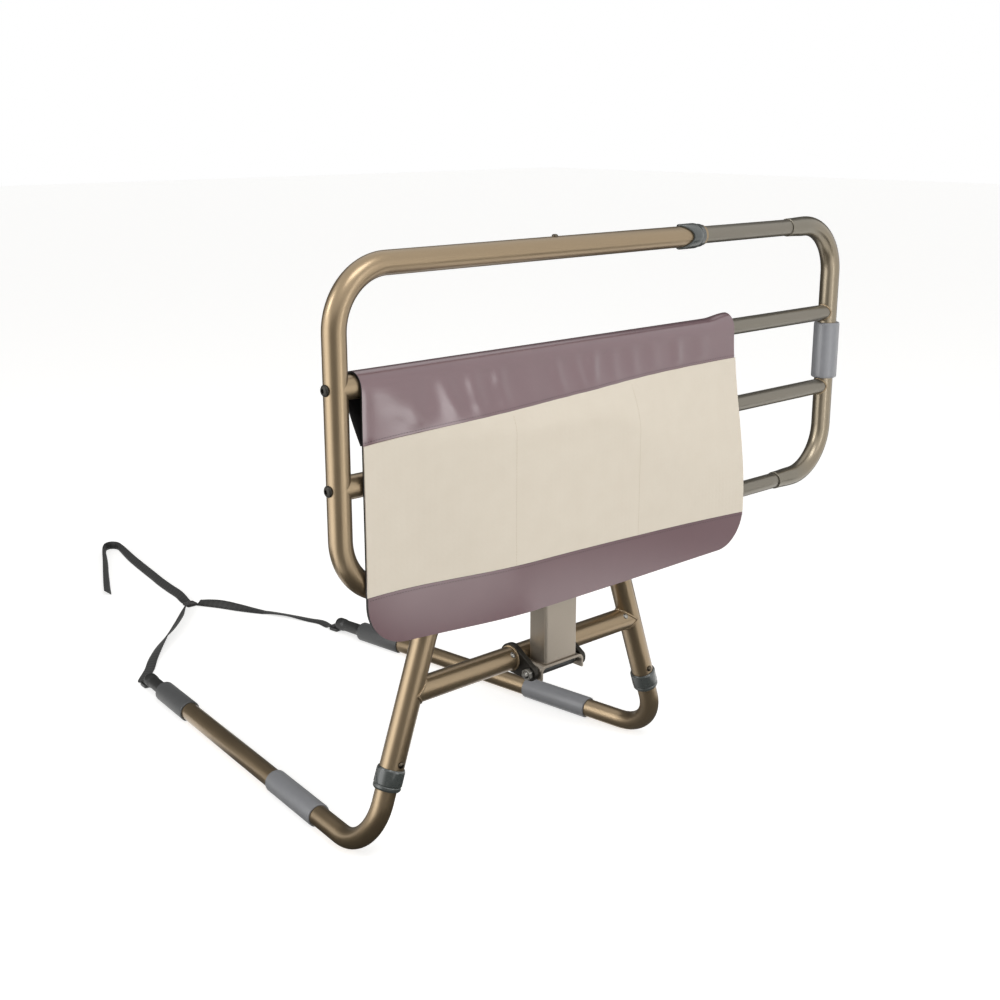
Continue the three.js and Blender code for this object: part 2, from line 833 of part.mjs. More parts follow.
// The cap on the end of a floor bar: a plug in the bar, a skirt over it, and the strap's eye.
function strapCap(side) {
  const line = legLine(side);
  const bore = legRadius - legWall - seatGap;
  const skirtBore = boreRadius(legRadius + seatGap, tubeSides);
  const skirt = skirtBore + capSkirtWall;
  const profile = [
    [0, -capStem],
    [bore, -capStem],
    [bore, seatGap],
    [skirtBore, seatGap],
    [skirtBore, -capSkirtLength],
    [skirt - capSkirtWall / 2, -capSkirtLength],
    [skirt, -capSkirtLength + capSkirtWall / 2],
    [skirt, capFlange / 2],
    [skirt - capFlange / 4, capFlange],
    [0, capFlange],
  ];
  const turnedCap = turned(profile, line.back(legBarLength), line.bar);
  const plug = cut(turnedCap, floorUnder(line.back(legBarLength - capSkirtLength / 2), capSkirtLength));
  const outline = roundedBox(eyeWidth, eyeLength + capFlange, eyeHeight / 2);
  outline.holes.push(roundedBox(eyeSlotWidth, eyeSlotLength, eyeSlotLength / 3));
  const plate = new THREE.ExtrudeGeometry(outline, {
    depth: eyeHeight,
    bevelEnabled: false,
    curveSegments: cornerSteps,
  });
  const middle = line.back(legBarLength + capFlange / 2 + eyeLength / 2);
  const across = at(line.bar.y, -line.bar.x, 0);
  const place = new THREE.Matrix4().makeBasis(across, line.bar, upwards);
  plate.applyMatrix4(place.setPosition(middle.x, middle.y, eyeFloor));
  return join(plug, closed(plate));
}

// Pouch

const pouchSpan = pouchRightX - pouchLeftX;
const pouchLoopRadius = tubeRadius + pouchLoopRoom + pouchSheet / 2;
const pouchFullDepth = -postBackY + postDepth + pouchPostRoom + pouchSheet / 2;
const smooth = (x, from, to) => THREE.MathUtils.smoothstep(x, from, to);

// How far the middle of the backing hangs in front of the rail, across and down the cloth.
function pouchDepth(across, z) {
  const down = (midTopZ - z) / (midTopZ - pouchBottomZ);
  const free = smooth(across, pouchTurnShare, 1);
  const reach = smooth(across, 0, pouchPostShare) * THREE.MathUtils.lerp(1, pouchLeanShare, free);
  const atPost = (midTopZ - postTopZ - pouchOverPost) / (midTopZ - pouchBottomZ);
  const full = THREE.MathUtils.lerp(atPost, pouchSlackShare, free);
  const drop = smooth(down, 0, full);
  const wave = Math.sin(across * pouchFoldCount * Math.PI) ** 2;
  const fold = pouchFold * wave * (1 - drop) * smooth(down, 0, pouchFoldStartShare);
  return pouchLoopRadius + (pouchFullDepth - pouchLoopRadius) * reach * drop + fold;
}

// The cloth's side edges run in along a round corner at the bottom.
function pouchX(across, z) {
  const intoCorner = Math.max(0, pouchCorner - (z - pouchBottomZ));
  const inset = pouchCorner - Math.sqrt(pouchCorner ** 2 - intoCorner ** 2);
  return pouchLeftX + inset + across * (pouchSpan - 2 * inset);
}

// A closed sheet between two grids of points, given as columns of {front, back}.
function sheetSolid(columns) {
  const rows = columns[0].length;
  const vertices = [];
  const push = (p) => vertices.push(p.x, p.y, p.z);
  const quad = (a, b, c, d) => [a, b, c, a, c, d].forEach(push);
  const edge = (p, q) => quad(p.front, q.front, q.back, p.back);
  for (let i = 0; i < columns.length - 1; i += 1) {
    for (let j = 0; j < rows - 1; j += 1) {
      const [a, b, c, d] = [columns[i][j], columns[i + 1][j], columns[i + 1][j + 1], columns[i][j + 1]];
      quad(c.front, b.front, a.front, d.front);
      quad(a.back, b.back, c.back, d.back);
    }
    edge(columns[i][0], columns[i + 1][0]);
    edge(columns[i + 1][rows - 1], columns[i][rows - 1]);
  }
  const last = columns.length - 1;
  for (let j = 0; j < rows - 1; j += 1) {
    edge(columns[0][j + 1], columns[0][j]);
    edge(columns[last][j], columns[last][j + 1]);
  }
  const geometry = new THREE.BufferGeometry();
  geometry.setAttribute('position', new THREE.Float32BufferAttribute(vertices, 3));
  return closed(geometry);
}

// A station of the cloth's section: its depth in front of the rail, its height and its outward normal.
function clothStation(depth, z, normalDepth, normalZ) {
  const normal = new THREE.Vector2(normalDepth, normalZ).normalize();
  return { middle: new THREE.Vector2(depth, z), normal };
}

function bandSeamZ(across) {
  const share = THREE.MathUtils.lerp(pouchBandRightShare, pouchBandLeftShare, (1 - across) ** 2);
  return THREE.MathUtils.lerp(midTopZ, midLowZ, share);
}

function hemSeamZ(across) {
  const height = THREE.MathUtils.lerp(pouchHemLeft, pouchHemRight, across ** 1.5);
  return pouchBottomZ + height + pouchHemBow * Math.sin(across * Math.PI);
}

function hangingStations(across, fromZ, toZ, rows, spacing = (share) => share) {
  return Array.from({ length: rows + 1 }, (_, j) => {
    const z = THREE.MathUtils.lerp(fromZ, toZ, spacing(j / rows));
    const below = pouchDepth(across, z - pouchSheet);
    const above = pouchDepth(across, z + pouchSheet);
    return clothStation(pouchDepth(across, z), z, 1, (below - above) / (2 * pouchSheet));
  });
}

// The back flap comes up from the seam behind the top band and runs over the upper mid bar.
function loopStations(across) {
  const seamZ = bandSeamZ(across);
  const seam = new THREE.Vector2(pouchDepth(across, seamZ) - pouchSheet - 2 * seatGap, seamZ);
  const toSeam = new THREE.Vector2(seam.x, seam.y - midTopZ);
  const swing = Math.acos(pouchLoopRadius / toSeam.length());
  const leave = Math.atan2(toSeam.y, toSeam.x) - swing + 2 * Math.PI;
  const round = (angle) => clothStation(
    pouchLoopRadius * Math.cos(angle),
    midTopZ + pouchLoopRadius * Math.sin(angle),
    Math.cos(angle),
    Math.sin(angle),
  );
  const rear = round(leave);
  const flap = flapShares.map((share) => {
    const p = seam.clone().lerp(rear.middle, share);
    return clothStation(p.x, p.y, rear.normal.x, rear.normal.y);
  });
  const over = Array.from({ length: loopSteps }, (_, k) => round(leave * (1 - k / loopSteps)));
  return [...flap, ...over];
}

// One closed sheet from the stations of each column, between two distances along their normals.
function pouchSheetSolid(stationsAt, inner, outer) {
  const columns = Array.from({ length: pouchColumns + 1 }, (_, i) => {
    const across = i / pouchColumns;
    return stationsAt(across).map(({ middle, normal }) => {
      const x = pouchX(across, middle.y);
      const place = (distance) => at(x, -middle.x - normal.x * distance, middle.y + normal.y * distance);
      return { front: place(outer), back: place(inner) };
    });
  });
  return sheetSolid(columns);
}

const bandStations = (across) => hangingStations(across, midTopZ, bandSeamZ(across), bandRows);

function pocketStations(across) {
  return hangingStations(across, bandSeamZ(across), hemSeamZ(across), pocketRows);
}

// The hem's rows are spaced like equal turns of the round corner.
const cornerSpacing = (share) => Math.sin((share * Math.PI) / 2);

function hemStations(across) {
  return hangingStations(across, hemSeamZ(across), pouchBottomZ, hemRows, cornerSpacing);
}

function pouchBacking() {
  const stationsAt = (across) => [
    ...loopStations(across),
    ...bandStations(across),
    ...pocketStations(across).slice(1),
    ...hemStations(across).slice(1),
  ];
  return pouchSheetSolid(stationsAt, -pouchSheet / 2, pouchSheet / 2);
}

const panelInner = pouchSheet / 2 + seatGap;

function pouchPocket() {
  return pouchSheetSolid(pocketStations, panelInner, panelInner + pouchPanel);
}

// The seam stays open by one gap, where the pocket's lower edge meets the band.
function pouchHem() {
  const stationsAt = (across) => {
    const stations = hemStations(across);
    stations[0].middle.y -= seatGap;
    return stations;
  };
  return pouchSheetSolid(stationsAt, panelInner, panelInner + pouchPanel);
}

// Straps

function strap(route, steps) {
  const curve = new THREE.CatmullRomCurve3(route, false, 'centripetal');
  curve.steps = steps;
  const half = strapWidth / 2;
  const edge = strapThickness / 2;
  const outline = new THREE.Shape([
    new THREE.Vector2(-edge, -half + edge),
    new THREE.Vector2(0, -half),
    new THREE.Vector2(edge, -half + edge),
    new THREE.Vector2(edge, half - edge),
    new THREE.Vector2(0, half),
    new THREE.Vector2(-edge, half - edge),
  ]);
  return sweep(outline, curve);
}

// Routes are chosen by hand, as (X, Y) from the middle of the line through the ends of the bars.
const strapOrigin = at(baseCentreX, legLine(1).back(legBarLength).y, 0);
const strapPoint = ([x, y]) => at(strapOrigin.x + x, strapOrigin.y + y, strapFloor + strapThickness / 2);

function strapStart(side) {
  const line = legLine(side);
  const start = line.back(legBarLength + capFlange + eyeLength + seatGap);
  start.z = strapFloor + strapThickness / 2;
  return [start, start.clone().addScaledVector(line.bar, strapWidth)];
}

const leftRoute = [
  [-140, 60], [-116, 92], [-88, 124], [-58, 154], [-26, 184], [2, 214], [24, 239],
  [42.4, 264.5],
].map(strapPoint);
const rightRoute = [
  [167, 52], [156, 83], [144, 114], [129, 148], [114, 172], [100, 196], [84, 228],
  [65.8, 264.1],
].map(strapPoint);
const tailRoute = [
  [59, 320], [63, 356], [69, 398], [76, 438], [83, 478], [90, 518], [97, 556], [105, 594],
  [112, 628], [113, 644], [106, 654], [95, 652], [84, 638], [70, 610], [50, 568], [30, 528],
  [8, 483], [-10, 446], [-25, 414],
].map(strapPoint);

// The tail leaves square to the junction's far edge.
function tailStart() {
  const startY = junctionY + junctionSize / 2 + seatGap;
  return [[junctionX, startY], [junctionX, startY + strapWidth]].map(strapPoint);
}

function strapJunction() {
  const outline = roundedBox(junctionSize, junctionSize, junctionSize / 6);
  const patch = new THREE.ExtrudeGeometry(outline, {
    depth: junctionHeight,
    bevelEnabled: false,
    curveSegments: cornerSteps,
  });
  patch.translate(strapOrigin.x + junctionX, strapOrigin.y + junctionY, strapFloor);
  return closed(patch);
}

// Assembly

const bed = new THREE.Group();
const baseFrame = new THREE.Group();
const foldingFoot = new THREE.Group();
const leftRail = new THREE.Group();
const rightRail = new THREE.Group();

baseFrame.add(
  part('upright_frame', uprightFrame(), bronzePaint),
  part('crossbar', crossbar(), bronzePaint),
  part('pivot_lug_left', pivotLug(-1), blackSteel),
  part('pivot_lug_right', pivotLug(1), blackSteel),
  part('pivot_bolt', pivotBolt(), zincSteel),
  part('pivot_nut', pivotNut(), zincSteel),
);

for (const [side, name] of [[-1, 'left'], [1, 'right']]) {
  const legGroup = new THREE.Group();
  const rearStart = legBarLength - rearSleeveInset - rearSleeveLength;
  const button = snapButton(legLine(side).up(legButtonAt), towardsFront, baseRadius, uprightWall);
  baseFrame.add(
    part(`leg_collar_${name}`, legCollar(side), darkPlastic),
    part(`leg_button_${name}`, button, zincSteel),
  );
  legGroup.add(
    part(`leg_${name}`, leg(side), bronzePaint),
    part(`leg_sleeve_front_${name}`, legSleeve(side, frontSleeveStart, frontSleeveLength), greyFoam),
    part(`leg_sleeve_rear_${name}`, legSleeve(side, rearStart, rearSleeveLength), darkFoam),
    part(`strap_cap_${name}`, strapCap(side), darkPlastic),
  );
  bed.add(legGroup);
}

foldingFoot.add(
  part('foot_bracket', footBracket(), footPaint),
  part('pivot_bush', pivotBush(), darkPlastic),
  part('post_tongue', postTongue(), blackSteel),
);

leftRail.add(
  part('post', post(), footPaint),
  part('post_cap', postCap(), darkPlastic),
  part('rail_outer_frame', railOuterFrame(), bronzePaint),
  part('rail_collar_top', railCollar(railTopZ), darkPlastic),
  part('rail_collar_bottom', railCollar(railBottomZ), darkPlastic),
  part('extension_button', snapButton(at(buttonX, 0, railTopZ), upwards, tubeRadius, railWall), zincSteel),
  part('pouch_backing', pouchBacking(), maroonVinyl),
  part('pouch_pocket', pouchPocket(), creamCloth),
  part('pouch_hem', pouchHem(), maroonVinyl),
);

rightRail.add(
  part('end_frame', endFrame(), bronzePaint),
  part('inner_bar_top', innerTopBar(), greyPaint),
  part('inner_bar_bottom', innerBar(railBottomZ), greyPaint),
  part('grip_sleeve', gripSleeve(), greyFoam),
  part('glide_top', glide(railTopZ), darkPlastic),
  part('glide_bottom', glide(railBottomZ), darkPlastic),
);

for (const [z, name] of [[midTopZ, 'upper'], [midLowZ, 'lower']]) {
  leftRail.add(
    part(`mid_rail_${name}`, midRail(z), bronzePaint),
    part(`mid_plug_${name}`, midPlug(z), darkPlastic),
    part(`mid_bolt_${name}`, midBolt(z), blackSteel),
    part(`mid_bush_${name}`, midBush(z), darkPlastic),
  );
  rightRail.add(
    part(`inner_bar_${name}`, innerMidBar(z), greyPaint),
    part(`glide_${name}`, glide(z), darkPlastic),
  );
}

const straps = [
  part('strap_left', strap([...strapStart(-1), ...leftRoute], strapSteps), blackWebbing),
  part('strap_right', strap([...strapStart(1), ...rightRoute], strapSteps), blackWebbing),
  part('strap_tail', strap([...tailStart(), ...tailRoute], 2 * strapSteps), blackWebbing),
  part('strap_junction', strapJunction(), blackWebbing),
];

// The origin stands under the middle of everything but the loose straps.
bed.add(baseFrame, foldingFoot, leftRail, rightRail);
const bounds = new THREE.Box3().setFromObject(bed);
bed.position.set(-(bounds.min.x + bounds.max.x) / 2, -(bounds.min.y + bounds.max.y) / 2, -bounds.min.z);
bed.add(...straps);

export default bed;
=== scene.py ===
from math import acos, asin, atan2, ceil, cos, exp, hypot, pi, radians, sin, sqrt, tan

import bmesh
import bpy
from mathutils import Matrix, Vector


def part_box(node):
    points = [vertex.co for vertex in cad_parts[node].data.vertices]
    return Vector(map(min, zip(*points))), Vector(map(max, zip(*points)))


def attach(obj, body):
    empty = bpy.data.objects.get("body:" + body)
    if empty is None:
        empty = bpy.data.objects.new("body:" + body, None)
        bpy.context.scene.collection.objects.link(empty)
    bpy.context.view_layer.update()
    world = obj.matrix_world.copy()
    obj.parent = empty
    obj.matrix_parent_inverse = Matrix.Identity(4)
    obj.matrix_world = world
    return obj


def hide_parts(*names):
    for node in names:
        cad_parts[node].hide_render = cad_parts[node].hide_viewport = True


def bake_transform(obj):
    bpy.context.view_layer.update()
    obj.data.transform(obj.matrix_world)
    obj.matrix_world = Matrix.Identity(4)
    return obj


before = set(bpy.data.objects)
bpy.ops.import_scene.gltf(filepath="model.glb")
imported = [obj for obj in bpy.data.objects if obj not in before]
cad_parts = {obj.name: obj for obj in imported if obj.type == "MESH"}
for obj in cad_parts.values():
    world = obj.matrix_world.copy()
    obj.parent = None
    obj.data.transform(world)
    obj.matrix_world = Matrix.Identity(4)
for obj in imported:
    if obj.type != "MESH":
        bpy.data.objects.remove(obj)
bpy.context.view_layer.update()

# Telescoping bed guard rail: a bent tube rail with a cloth pouch, on a folding foot and two floor legs.
# Sizes are in millimetres from the rail's left upright, its plane and the floor. at() turns them
# into metres in the frame.
mm = 0.001
tube = dict(radius=12.7, base=14.0, inner=10.5, leg=12.3, wall=1.0, sides=56, bendStep=radians(4),
            endStep=1.5, copedStep=30.0, copeReach=40.0)
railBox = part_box("rail_outer_frame")
origin = Vector((railBox[0][0] + tube["radius"] * mm, (railBox[0][1] + railBox[1][1]) / 2, 0))
seatGap = 0.3
baseY = tube["base"] - tube["radius"]
sides = ((-1, "left"), (1, "right"))
alongX = Vector((1, 0, 0))
front = Vector((0, -1, 0))
up = Vector((0, 0, 1))


def at(x, y, z):
    return origin + Vector((x, y, z)) * mm


print("frame loaded, origin", [round(v, 4) for v in origin])


# Camera

camera = dict(x=-794.7, y=-1107.2, z=802.3, yaw=42.543, pitch=15.499, focal=1385.3, frame=1000.0,
              sensor=36.0, near=0.05, far=60.0)


def makeCamera():
    data = bpy.data.cameras.new("camera")
    data.sensor_width = camera["sensor"]
    data.lens = camera["focal"] / camera["frame"] * camera["sensor"]
    data.clip_start = camera["near"]
    data.clip_end = camera["far"]
    eye = bpy.data.objects.new("camera", data)
    eye.location = at(camera["x"], camera["y"], camera["z"])
    eye.rotation_euler = (radians(90 - camera["pitch"]), 0, radians(-camera["yaw"]))
    bpy.context.collection.objects.link(eye)
    bpy.context.scene.camera = eye


makeCamera()


# Materials

def toLinear(hexColour):
    channels = [int(hexColour[i:i + 2], 16) / 255 for i in (0, 2, 4)]
    return tuple(c / 12.92 if c <= 0.04045 else ((c + 0.055) / 1.055) ** 2.4 for c in channels) + (1.0,)


def addNode(tree, kind, inputs=(), **settings):
    node = tree.nodes.new(kind)
    for key, value in settings.items():
        setattr(node, key, value)
    for key, value in dict(inputs).items():
        if isinstance(value, bpy.types.NodeSocket):
            tree.links.new(value, node.inputs[key])
        else:
            node.inputs[key].default_value = value
    return node


def shaderOf(tree):
    return tree.nodes["Principled BSDF"]


# A material and the coordinates that its patterns follow: the object's, or the piece's own map.
def newMaterial(name, colour, ownMap=None, **sockets):
    material = bpy.data.materials.new(name)
    material.use_nodes = True
    material.diffuse_color = toLinear(colour)
    tree = material.node_tree
    inputs = shaderOf(tree).inputs
    inputs["Base Color"].default_value = toLinear(colour)
    for key, value in sockets.items():
        inputs[key.replace("_", " ")].default_value = value
    if ownMap:
        return material, tree, addNode(tree, "ShaderNodeUVMap", uv_map=ownMap).outputs["UV"]
    return material, tree, addNode(tree, "ShaderNodeTexCoord").outputs["Object"]


def perMetre(size):
    return 1 / (size * mm)


# A wave texture has a ridge every 2 pi / 20 units at scale 1.
def ridgesPerMetre(spacing):
    return perMetre(spacing) * 2 * pi / 20


# Mixes a second tone into the base colour where the factor is high.
def tintBase(tree, factor, tone, strength):
    target = shaderOf(tree).inputs["Base Color"]
    share = addNode(tree, "ShaderNodeMath", {0: factor, 1: strength}, operation="MULTIPLY")
    mix = addNode(tree, "ShaderNodeMix", {0: share.outputs[0], 6: tuple(target.default_value),
                                          7: toLinear(tone)}, data_type="RGBA")
    tree.links.new(mix.outputs[2], target)


def varyRoughness(tree, factor, low, high):
    spread = addNode(tree, "ShaderNodeMapRange", {0: factor, 3: low, 4: high})
    tree.links.new(spread.outputs[0], shaderOf(tree).inputs["Roughness"])


def addBump(tree, height, depth, strength=1.0):
    bump = addNode(tree, "ShaderNodeBump",
                   {"Height": height, "Strength": strength, "Distance": depth * mm})
    tree.links.new(bump.outputs[0], shaderOf(tree).inputs["Normal"])


paint = dict(coat=0.4, coatRoughness=0.2, flake=0.7, flakeTint=0.16, patch=38.0, smoother=0.05,
             rougher=0.06, peel=1.1, peelDepth=0.012)


# Powder coat with metal flakes, sprayed and baked on steel: a satin sheen, fine sparkle and faint
# orange peel.
def powderCoat(name, colour, flakeTone, metallic, roughness):
    material, tree, spot = newMaterial(name, colour, Metallic=metallic, Roughness=roughness,
                                       Coat_Weight=paint["coat"], Coat_Roughness=paint["coatRoughness"])
    flakes = addNode(tree, "ShaderNodeTexVoronoi", {"Vector": spot, "Scale": perMetre(paint["flake"])})
    patches = addNode(tree, "ShaderNodeTexNoise", {"Vector": spot, "Scale": perMetre(paint["patch"])})
    peel = addNode(tree, "ShaderNodeTexNoise",
                   {"Vector": spot, "Scale": perMetre(paint["peel"]), "Detail": 3.0})
    tintBase(tree, flakes.outputs["Color"], flakeTone, paint["flakeTint"])
    varyRoughness(tree, patches.outputs["Fac"], roughness - paint["smoother"],
                  roughness + paint["rougher"])
    addBump(tree, peel.outputs["Fac"], paint["peelDepth"])
    return material


moulding = dict(coatRoughness=0.14, grain=0.5, grainDepth=0.03, haze=9.0, smoother=0.06, rougher=0.08)


# Injection-moulded ABS: a fine spark-eroded texture and a low, even gloss.
def mouldedPlastic(name, colour, roughness, gloss=0.0):
    material, tree, spot = newMaterial(name, colour, Roughness=roughness, IOR=1.5, Coat_Weight=gloss,
                                       Coat_Roughness=moulding["coatRoughness"])
    grain = addNode(tree, "ShaderNodeTexNoise",
                    {"Vector": spot, "Scale": perMetre(moulding["grain"]), "Detail": 4.0})
    haze = addNode(tree, "ShaderNodeTexNoise",
                   {"Vector": spot, "Scale": perMetre(moulding["haze"]), "Detail": 3.0})
    varyRoughness(tree, haze.outputs["Fac"], roughness - moulding["smoother"],
                  roughness + moulding["rougher"])
    addBump(tree, grain.outputs["Fac"], moulding["grainDepth"])
    return material


foam = dict(coatRoughness=0.3, sheen=0.15, sheenRoughness=0.5, pore=1.1, poreDepth=0.1, mottle=7.0,
            mottleTint=0.42)


# Closed-cell foam rubber, extruded as a sleeve: matt, with open pores and a soft drawn grain.
def foamRubber(name, colour, poreTone, roughness, gloss=0.0):
    material, tree, spot = newMaterial(name, colour, Roughness=roughness, IOR=1.5, Coat_Weight=gloss,
                                       Coat_Roughness=foam["coatRoughness"], Sheen_Weight=foam["sheen"],
                                       Sheen_Roughness=foam["sheenRoughness"])
    pores = addNode(tree, "ShaderNodeTexVoronoi", {"Vector": spot, "Scale": perMetre(foam["pore"])},
                    feature="SMOOTH_F1")
    mottle = addNode(tree, "ShaderNodeTexNoise",
                     {"Vector": spot, "Scale": perMetre(foam["mottle"]), "Detail": 5.0})
    height = addNode(tree, "ShaderNodeMath", {0: pores.outputs["Distance"], 1: mottle.outputs["Fac"]})
    tintBase(tree, mottle.outputs["Fac"], poreTone, foam["mottleTint"])
    addBump(tree, height.outputs[0], foam["poreDepth"])
    return material


zinc = dict(roughness=0.28, smoothest=0.2, roughest=0.42, cloud=3.0, cloudDepth=0.01)


# Bright zinc plate on steel: thin, slightly clouded, with fine turning marks.
def zincPlate(name, colour):
    material, tree, spot = newMaterial(name, colour, Metallic=1.0, Roughness=zinc["roughness"])
    cloud = addNode(tree, "ShaderNodeTexNoise",
                    {"Vector": spot, "Scale": perMetre(zinc["cloud"]), "Detail": 4.0})
    varyRoughness(tree, cloud.outputs["Fac"], zinc["smoothest"], zinc["roughest"])
    addBump(tree, cloud.outputs["Fac"], zinc["cloudDepth"])
    return material


oxide = dict(metallic=0.6, roughness=0.42, smoothest=0.32, roughest=0.55, wear=5.0, wornTone="4a463f",
             wornTint=0.5, wearDepth=0.03)


# Black oxide on steel plate and bolts: dark and oily, with worn lighter patches.
def blackSteel(name, colour):
    material, tree, spot = newMaterial(name, colour, Metallic=oxide["metallic"],
                                       Roughness=oxide["roughness"])
    wear = addNode(tree, "ShaderNodeTexNoise",
                   {"Vector": spot, "Scale": perMetre(oxide["wear"]), "Detail": 6.0})
    tintBase(tree, wear.outputs["Fac"], oxide["wornTone"], oxide["wornTint"])
    varyRoughness(tree, wear.outputs["Fac"], oxide["smoothest"], oxide["roughest"])
    addBump(tree, wear.outputs["Fac"], oxide["wearDepth"])
    return material


leather = dict(roughness=0.3, ior=1.6, coat=1.0, coatRoughness=0.17, grain=1.3, fineGrain=0.7,
               grainDepth=0.035, grainStrength=0.5, patch=45.0, patchTint=0.55, smoothest=0.24,
               roughest=0.36)


# Soft coated vinyl, calendered and embossed with a fine leather grain: a wet-looking but broken gloss.
def grainedVinyl(name, colour, tone):
    material, tree, spot = newMaterial(name, colour, Roughness=leather["roughness"], IOR=leather["ior"],
                                       Coat_Weight=leather["coat"], Coat_IOR=leather["ior"],
                                       Coat_Roughness=leather["coatRoughness"])
    grain = addNode(tree, "ShaderNodeTexVoronoi", {"Vector": spot, "Scale": perMetre(leather["grain"])},
                    feature="SMOOTH_F1")
    fine = addNode(tree, "ShaderNodeTexNoise",
                   {"Vector": spot, "Scale": perMetre(leather["fineGrain"]), "Detail": 3.0})
    patches = addNode(tree, "ShaderNodeTexNoise",
                      {"Vector": spot, "Scale": perMetre(leather["patch"]), "Detail": 2.0})
    height = addNode(tree, "ShaderNodeMath", {0: grain.outputs["Distance"], 1: fine.outputs["Fac"]})
    tintBase(tree, patches.outputs["Fac"], tone, leather["patchTint"])
    varyRoughness(tree, patches.outputs["Fac"], leather["smoothest"], leather["roughest"])
    addBump(tree, height.outputs[0], leather["grainDepth"], leather["grainStrength"])
    return material


weave = dict(roughness=0.82, sheen=0.2, sheenRoughness=0.4, slub=26.0, slubTint=0.5, ridgeDepth=0.09,
             ridgeStrength=0.7)


# Plain-woven polyester, piece dyed: matt, with slubs and crossed threads. The threads are too fine to
# show, so their ridges are drawn some millimetres apart.
def wovenCanvas(name, colour, tone, ridge=6.912):
    material, tree, spread = newMaterial(name, colour, "clothMap", Roughness=weave["roughness"],
                                         IOR=1.45, Sheen_Weight=weave["sheen"],
                                         Sheen_Roughness=weave["sheenRoughness"])
    warp, weft = [addNode(tree, "ShaderNodeTexWave",
                          {"Vector": spread, "Scale": ridgesPerMetre(ridge), "Distortion": 0.35,
                           "Detail": 2.0, "Detail Scale": 2.0}, bands_direction=way).outputs["Fac"]
                  for way in ("X", "Y")]
    crossed = addNode(tree, "ShaderNodeMath", {0: warp, 1: weft}, operation="MULTIPLY")
    slub = addNode(tree, "ShaderNodeTexNoise",
                   {"Vector": spread, "Scale": perMetre(weave["slub"]), "Detail": 5.0})
    tintBase(tree, slub.outputs["Fac"], tone, weave["slubTint"])
    addBump(tree, crossed.outputs[0], weave["ridgeDepth"], weave["ridgeStrength"])
    return material


webbing = dict(roughness=0.62, sheen=0.15, rib=9.425, cord=13.195, ribTint=0.5, ribDepth=0.16)


# Woven polypropylene webbing: ribs across the band and cords along it, drawn on its own map and
# coarser than the real weave so that they show.
def wovenWebbing(name, colour, tone):
    material, tree, spread = newMaterial(name, colour, "bandMap", Roughness=webbing["roughness"],
                                         IOR=1.46, Sheen_Weight=webbing["sheen"])
    ribs = addNode(tree, "ShaderNodeTexWave",
                   {"Vector": spread, "Scale": ridgesPerMetre(webbing["rib"]), "Distortion": 0.3,
                    "Detail": 2.0}, bands_direction="Y")
    cords = addNode(tree, "ShaderNodeTexWave",
                    {"Vector": spread, "Scale": ridgesPerMetre(webbing["cord"]), "Distortion": 0.2,
                     "Detail": 1.0}, bands_direction="X")
    height = addNode(tree, "ShaderNodeMath", {0: ribs.outputs["Fac"], 1: cords.outputs["Fac"]})
    tintBase(tree, ribs.outputs["Fac"], tone, webbing["ribTint"])
    addBump(tree, height.outputs[0], webbing["ribDepth"])
    return material


finish = dict(
    bronze=powderCoat("bronze_powder_coat", "988468", "b5a283", 0.85, 0.32),
    # The inner tubes' grey and the end tube's champagne are greyer copies of the bronze coat, a painted
    # reflection: they stand in for the duller reflection that the rail's right end shows.
    grey=powderCoat("bronze_coat_painted_grey_reflection", "7b7569", "8c867a", 0.75, 0.33),
    champagne=powderCoat("bronze_coat_painted_reflection_end", "8f836f", "a69a85", 0.85, 0.3),
    post=powderCoat("taupe_powder_coat", "9b9184", "aca293", 0.75, 0.3),
    plastic=mouldedPlastic("moulded_abs_grey", "3f4341", 0.27, 0.8),
    plasticDark=mouldedPlastic("moulded_abs_dark", "2f2f2e", 0.4),
    grip=foamRubber("foam_rubber_grip", "85868a", "707175", 0.36, 0.8),
    foam=foamRubber("foam_rubber_grey", "858689", "6e6f72", 0.5, 0.3),
    foamDark=foamRubber("foam_rubber_dark", "464747", "363737", 0.55, 0.2),
    zinc=zincPlate("zinc_plated_steel", "9a9892"),
    # The snap buttons take the zinc finish in a dark brown-grey.
    buttonSteel=zincPlate("dark_button_steel", "5e564a"),
    black=blackSteel("black_oxide_steel", "25231f"),
    vinyl=grainedVinyl("maroon_coated_vinyl", "6d5055", "5e4348"),
    lining=wovenCanvas("black_lining_cloth", "1d1b1c", "2a2829", 5.027),
    canvas=wovenCanvas("cream_woven_canvas", "dad1c2", "cec3b2"),
    webbing=wovenWebbing("black_polypropylene_webbing", "2b2b2a", "3c3c3a"),
    threadCream=wovenCanvas("cream_sewing_thread", "cbbfa9", "b6a992", 2.513),
    threadDark=wovenCanvas("dark_sewing_thread", "4a3c3f", "3a2e31", 2.513),
)
print("materials made:", len(finish))


# Mesh helpers

creases = dict(cut=38, swept=50, turned=52, cloth=60)  # degrees above which an edge stays sharp
bevels = dict(fromAngle=35, normalWeight=60)


def smoothStep(x, low, high):
    t = min(max((x - low) / (high - low), 0), 1)
    return t * t * (3 - 2 * t)


def mixed(a, b, t):
    return a + (b - a) * t


def linkMesh(name, vertices, faces, materials, smooth=True, edges=()):
    mesh = bpy.data.meshes.new(name)
    mesh.from_pydata([tuple(v) for v in vertices], edges, faces)
    for material in materials if isinstance(materials, (list, tuple)) else [materials]:
        mesh.materials.append(material)
    mesh.update()
    if smooth:
        mesh.shade_smooth()
    piece = bpy.data.objects.new(name, mesh)
    bpy.context.collection.objects.link(piece)
    return piece


# Turns every face outwards and marks the edges that stay sharp.
def outwards(piece, crease=None):
    shape = bmesh.new()
    shape.from_mesh(piece.data)
    bmesh.ops.recalc_face_normals(shape, faces=shape.faces)
    shape.to_mesh(piece.data)
    shape.free()
    if crease:
        piece.data.set_sharp_from_angle(angle=radians(crease))
    return piece


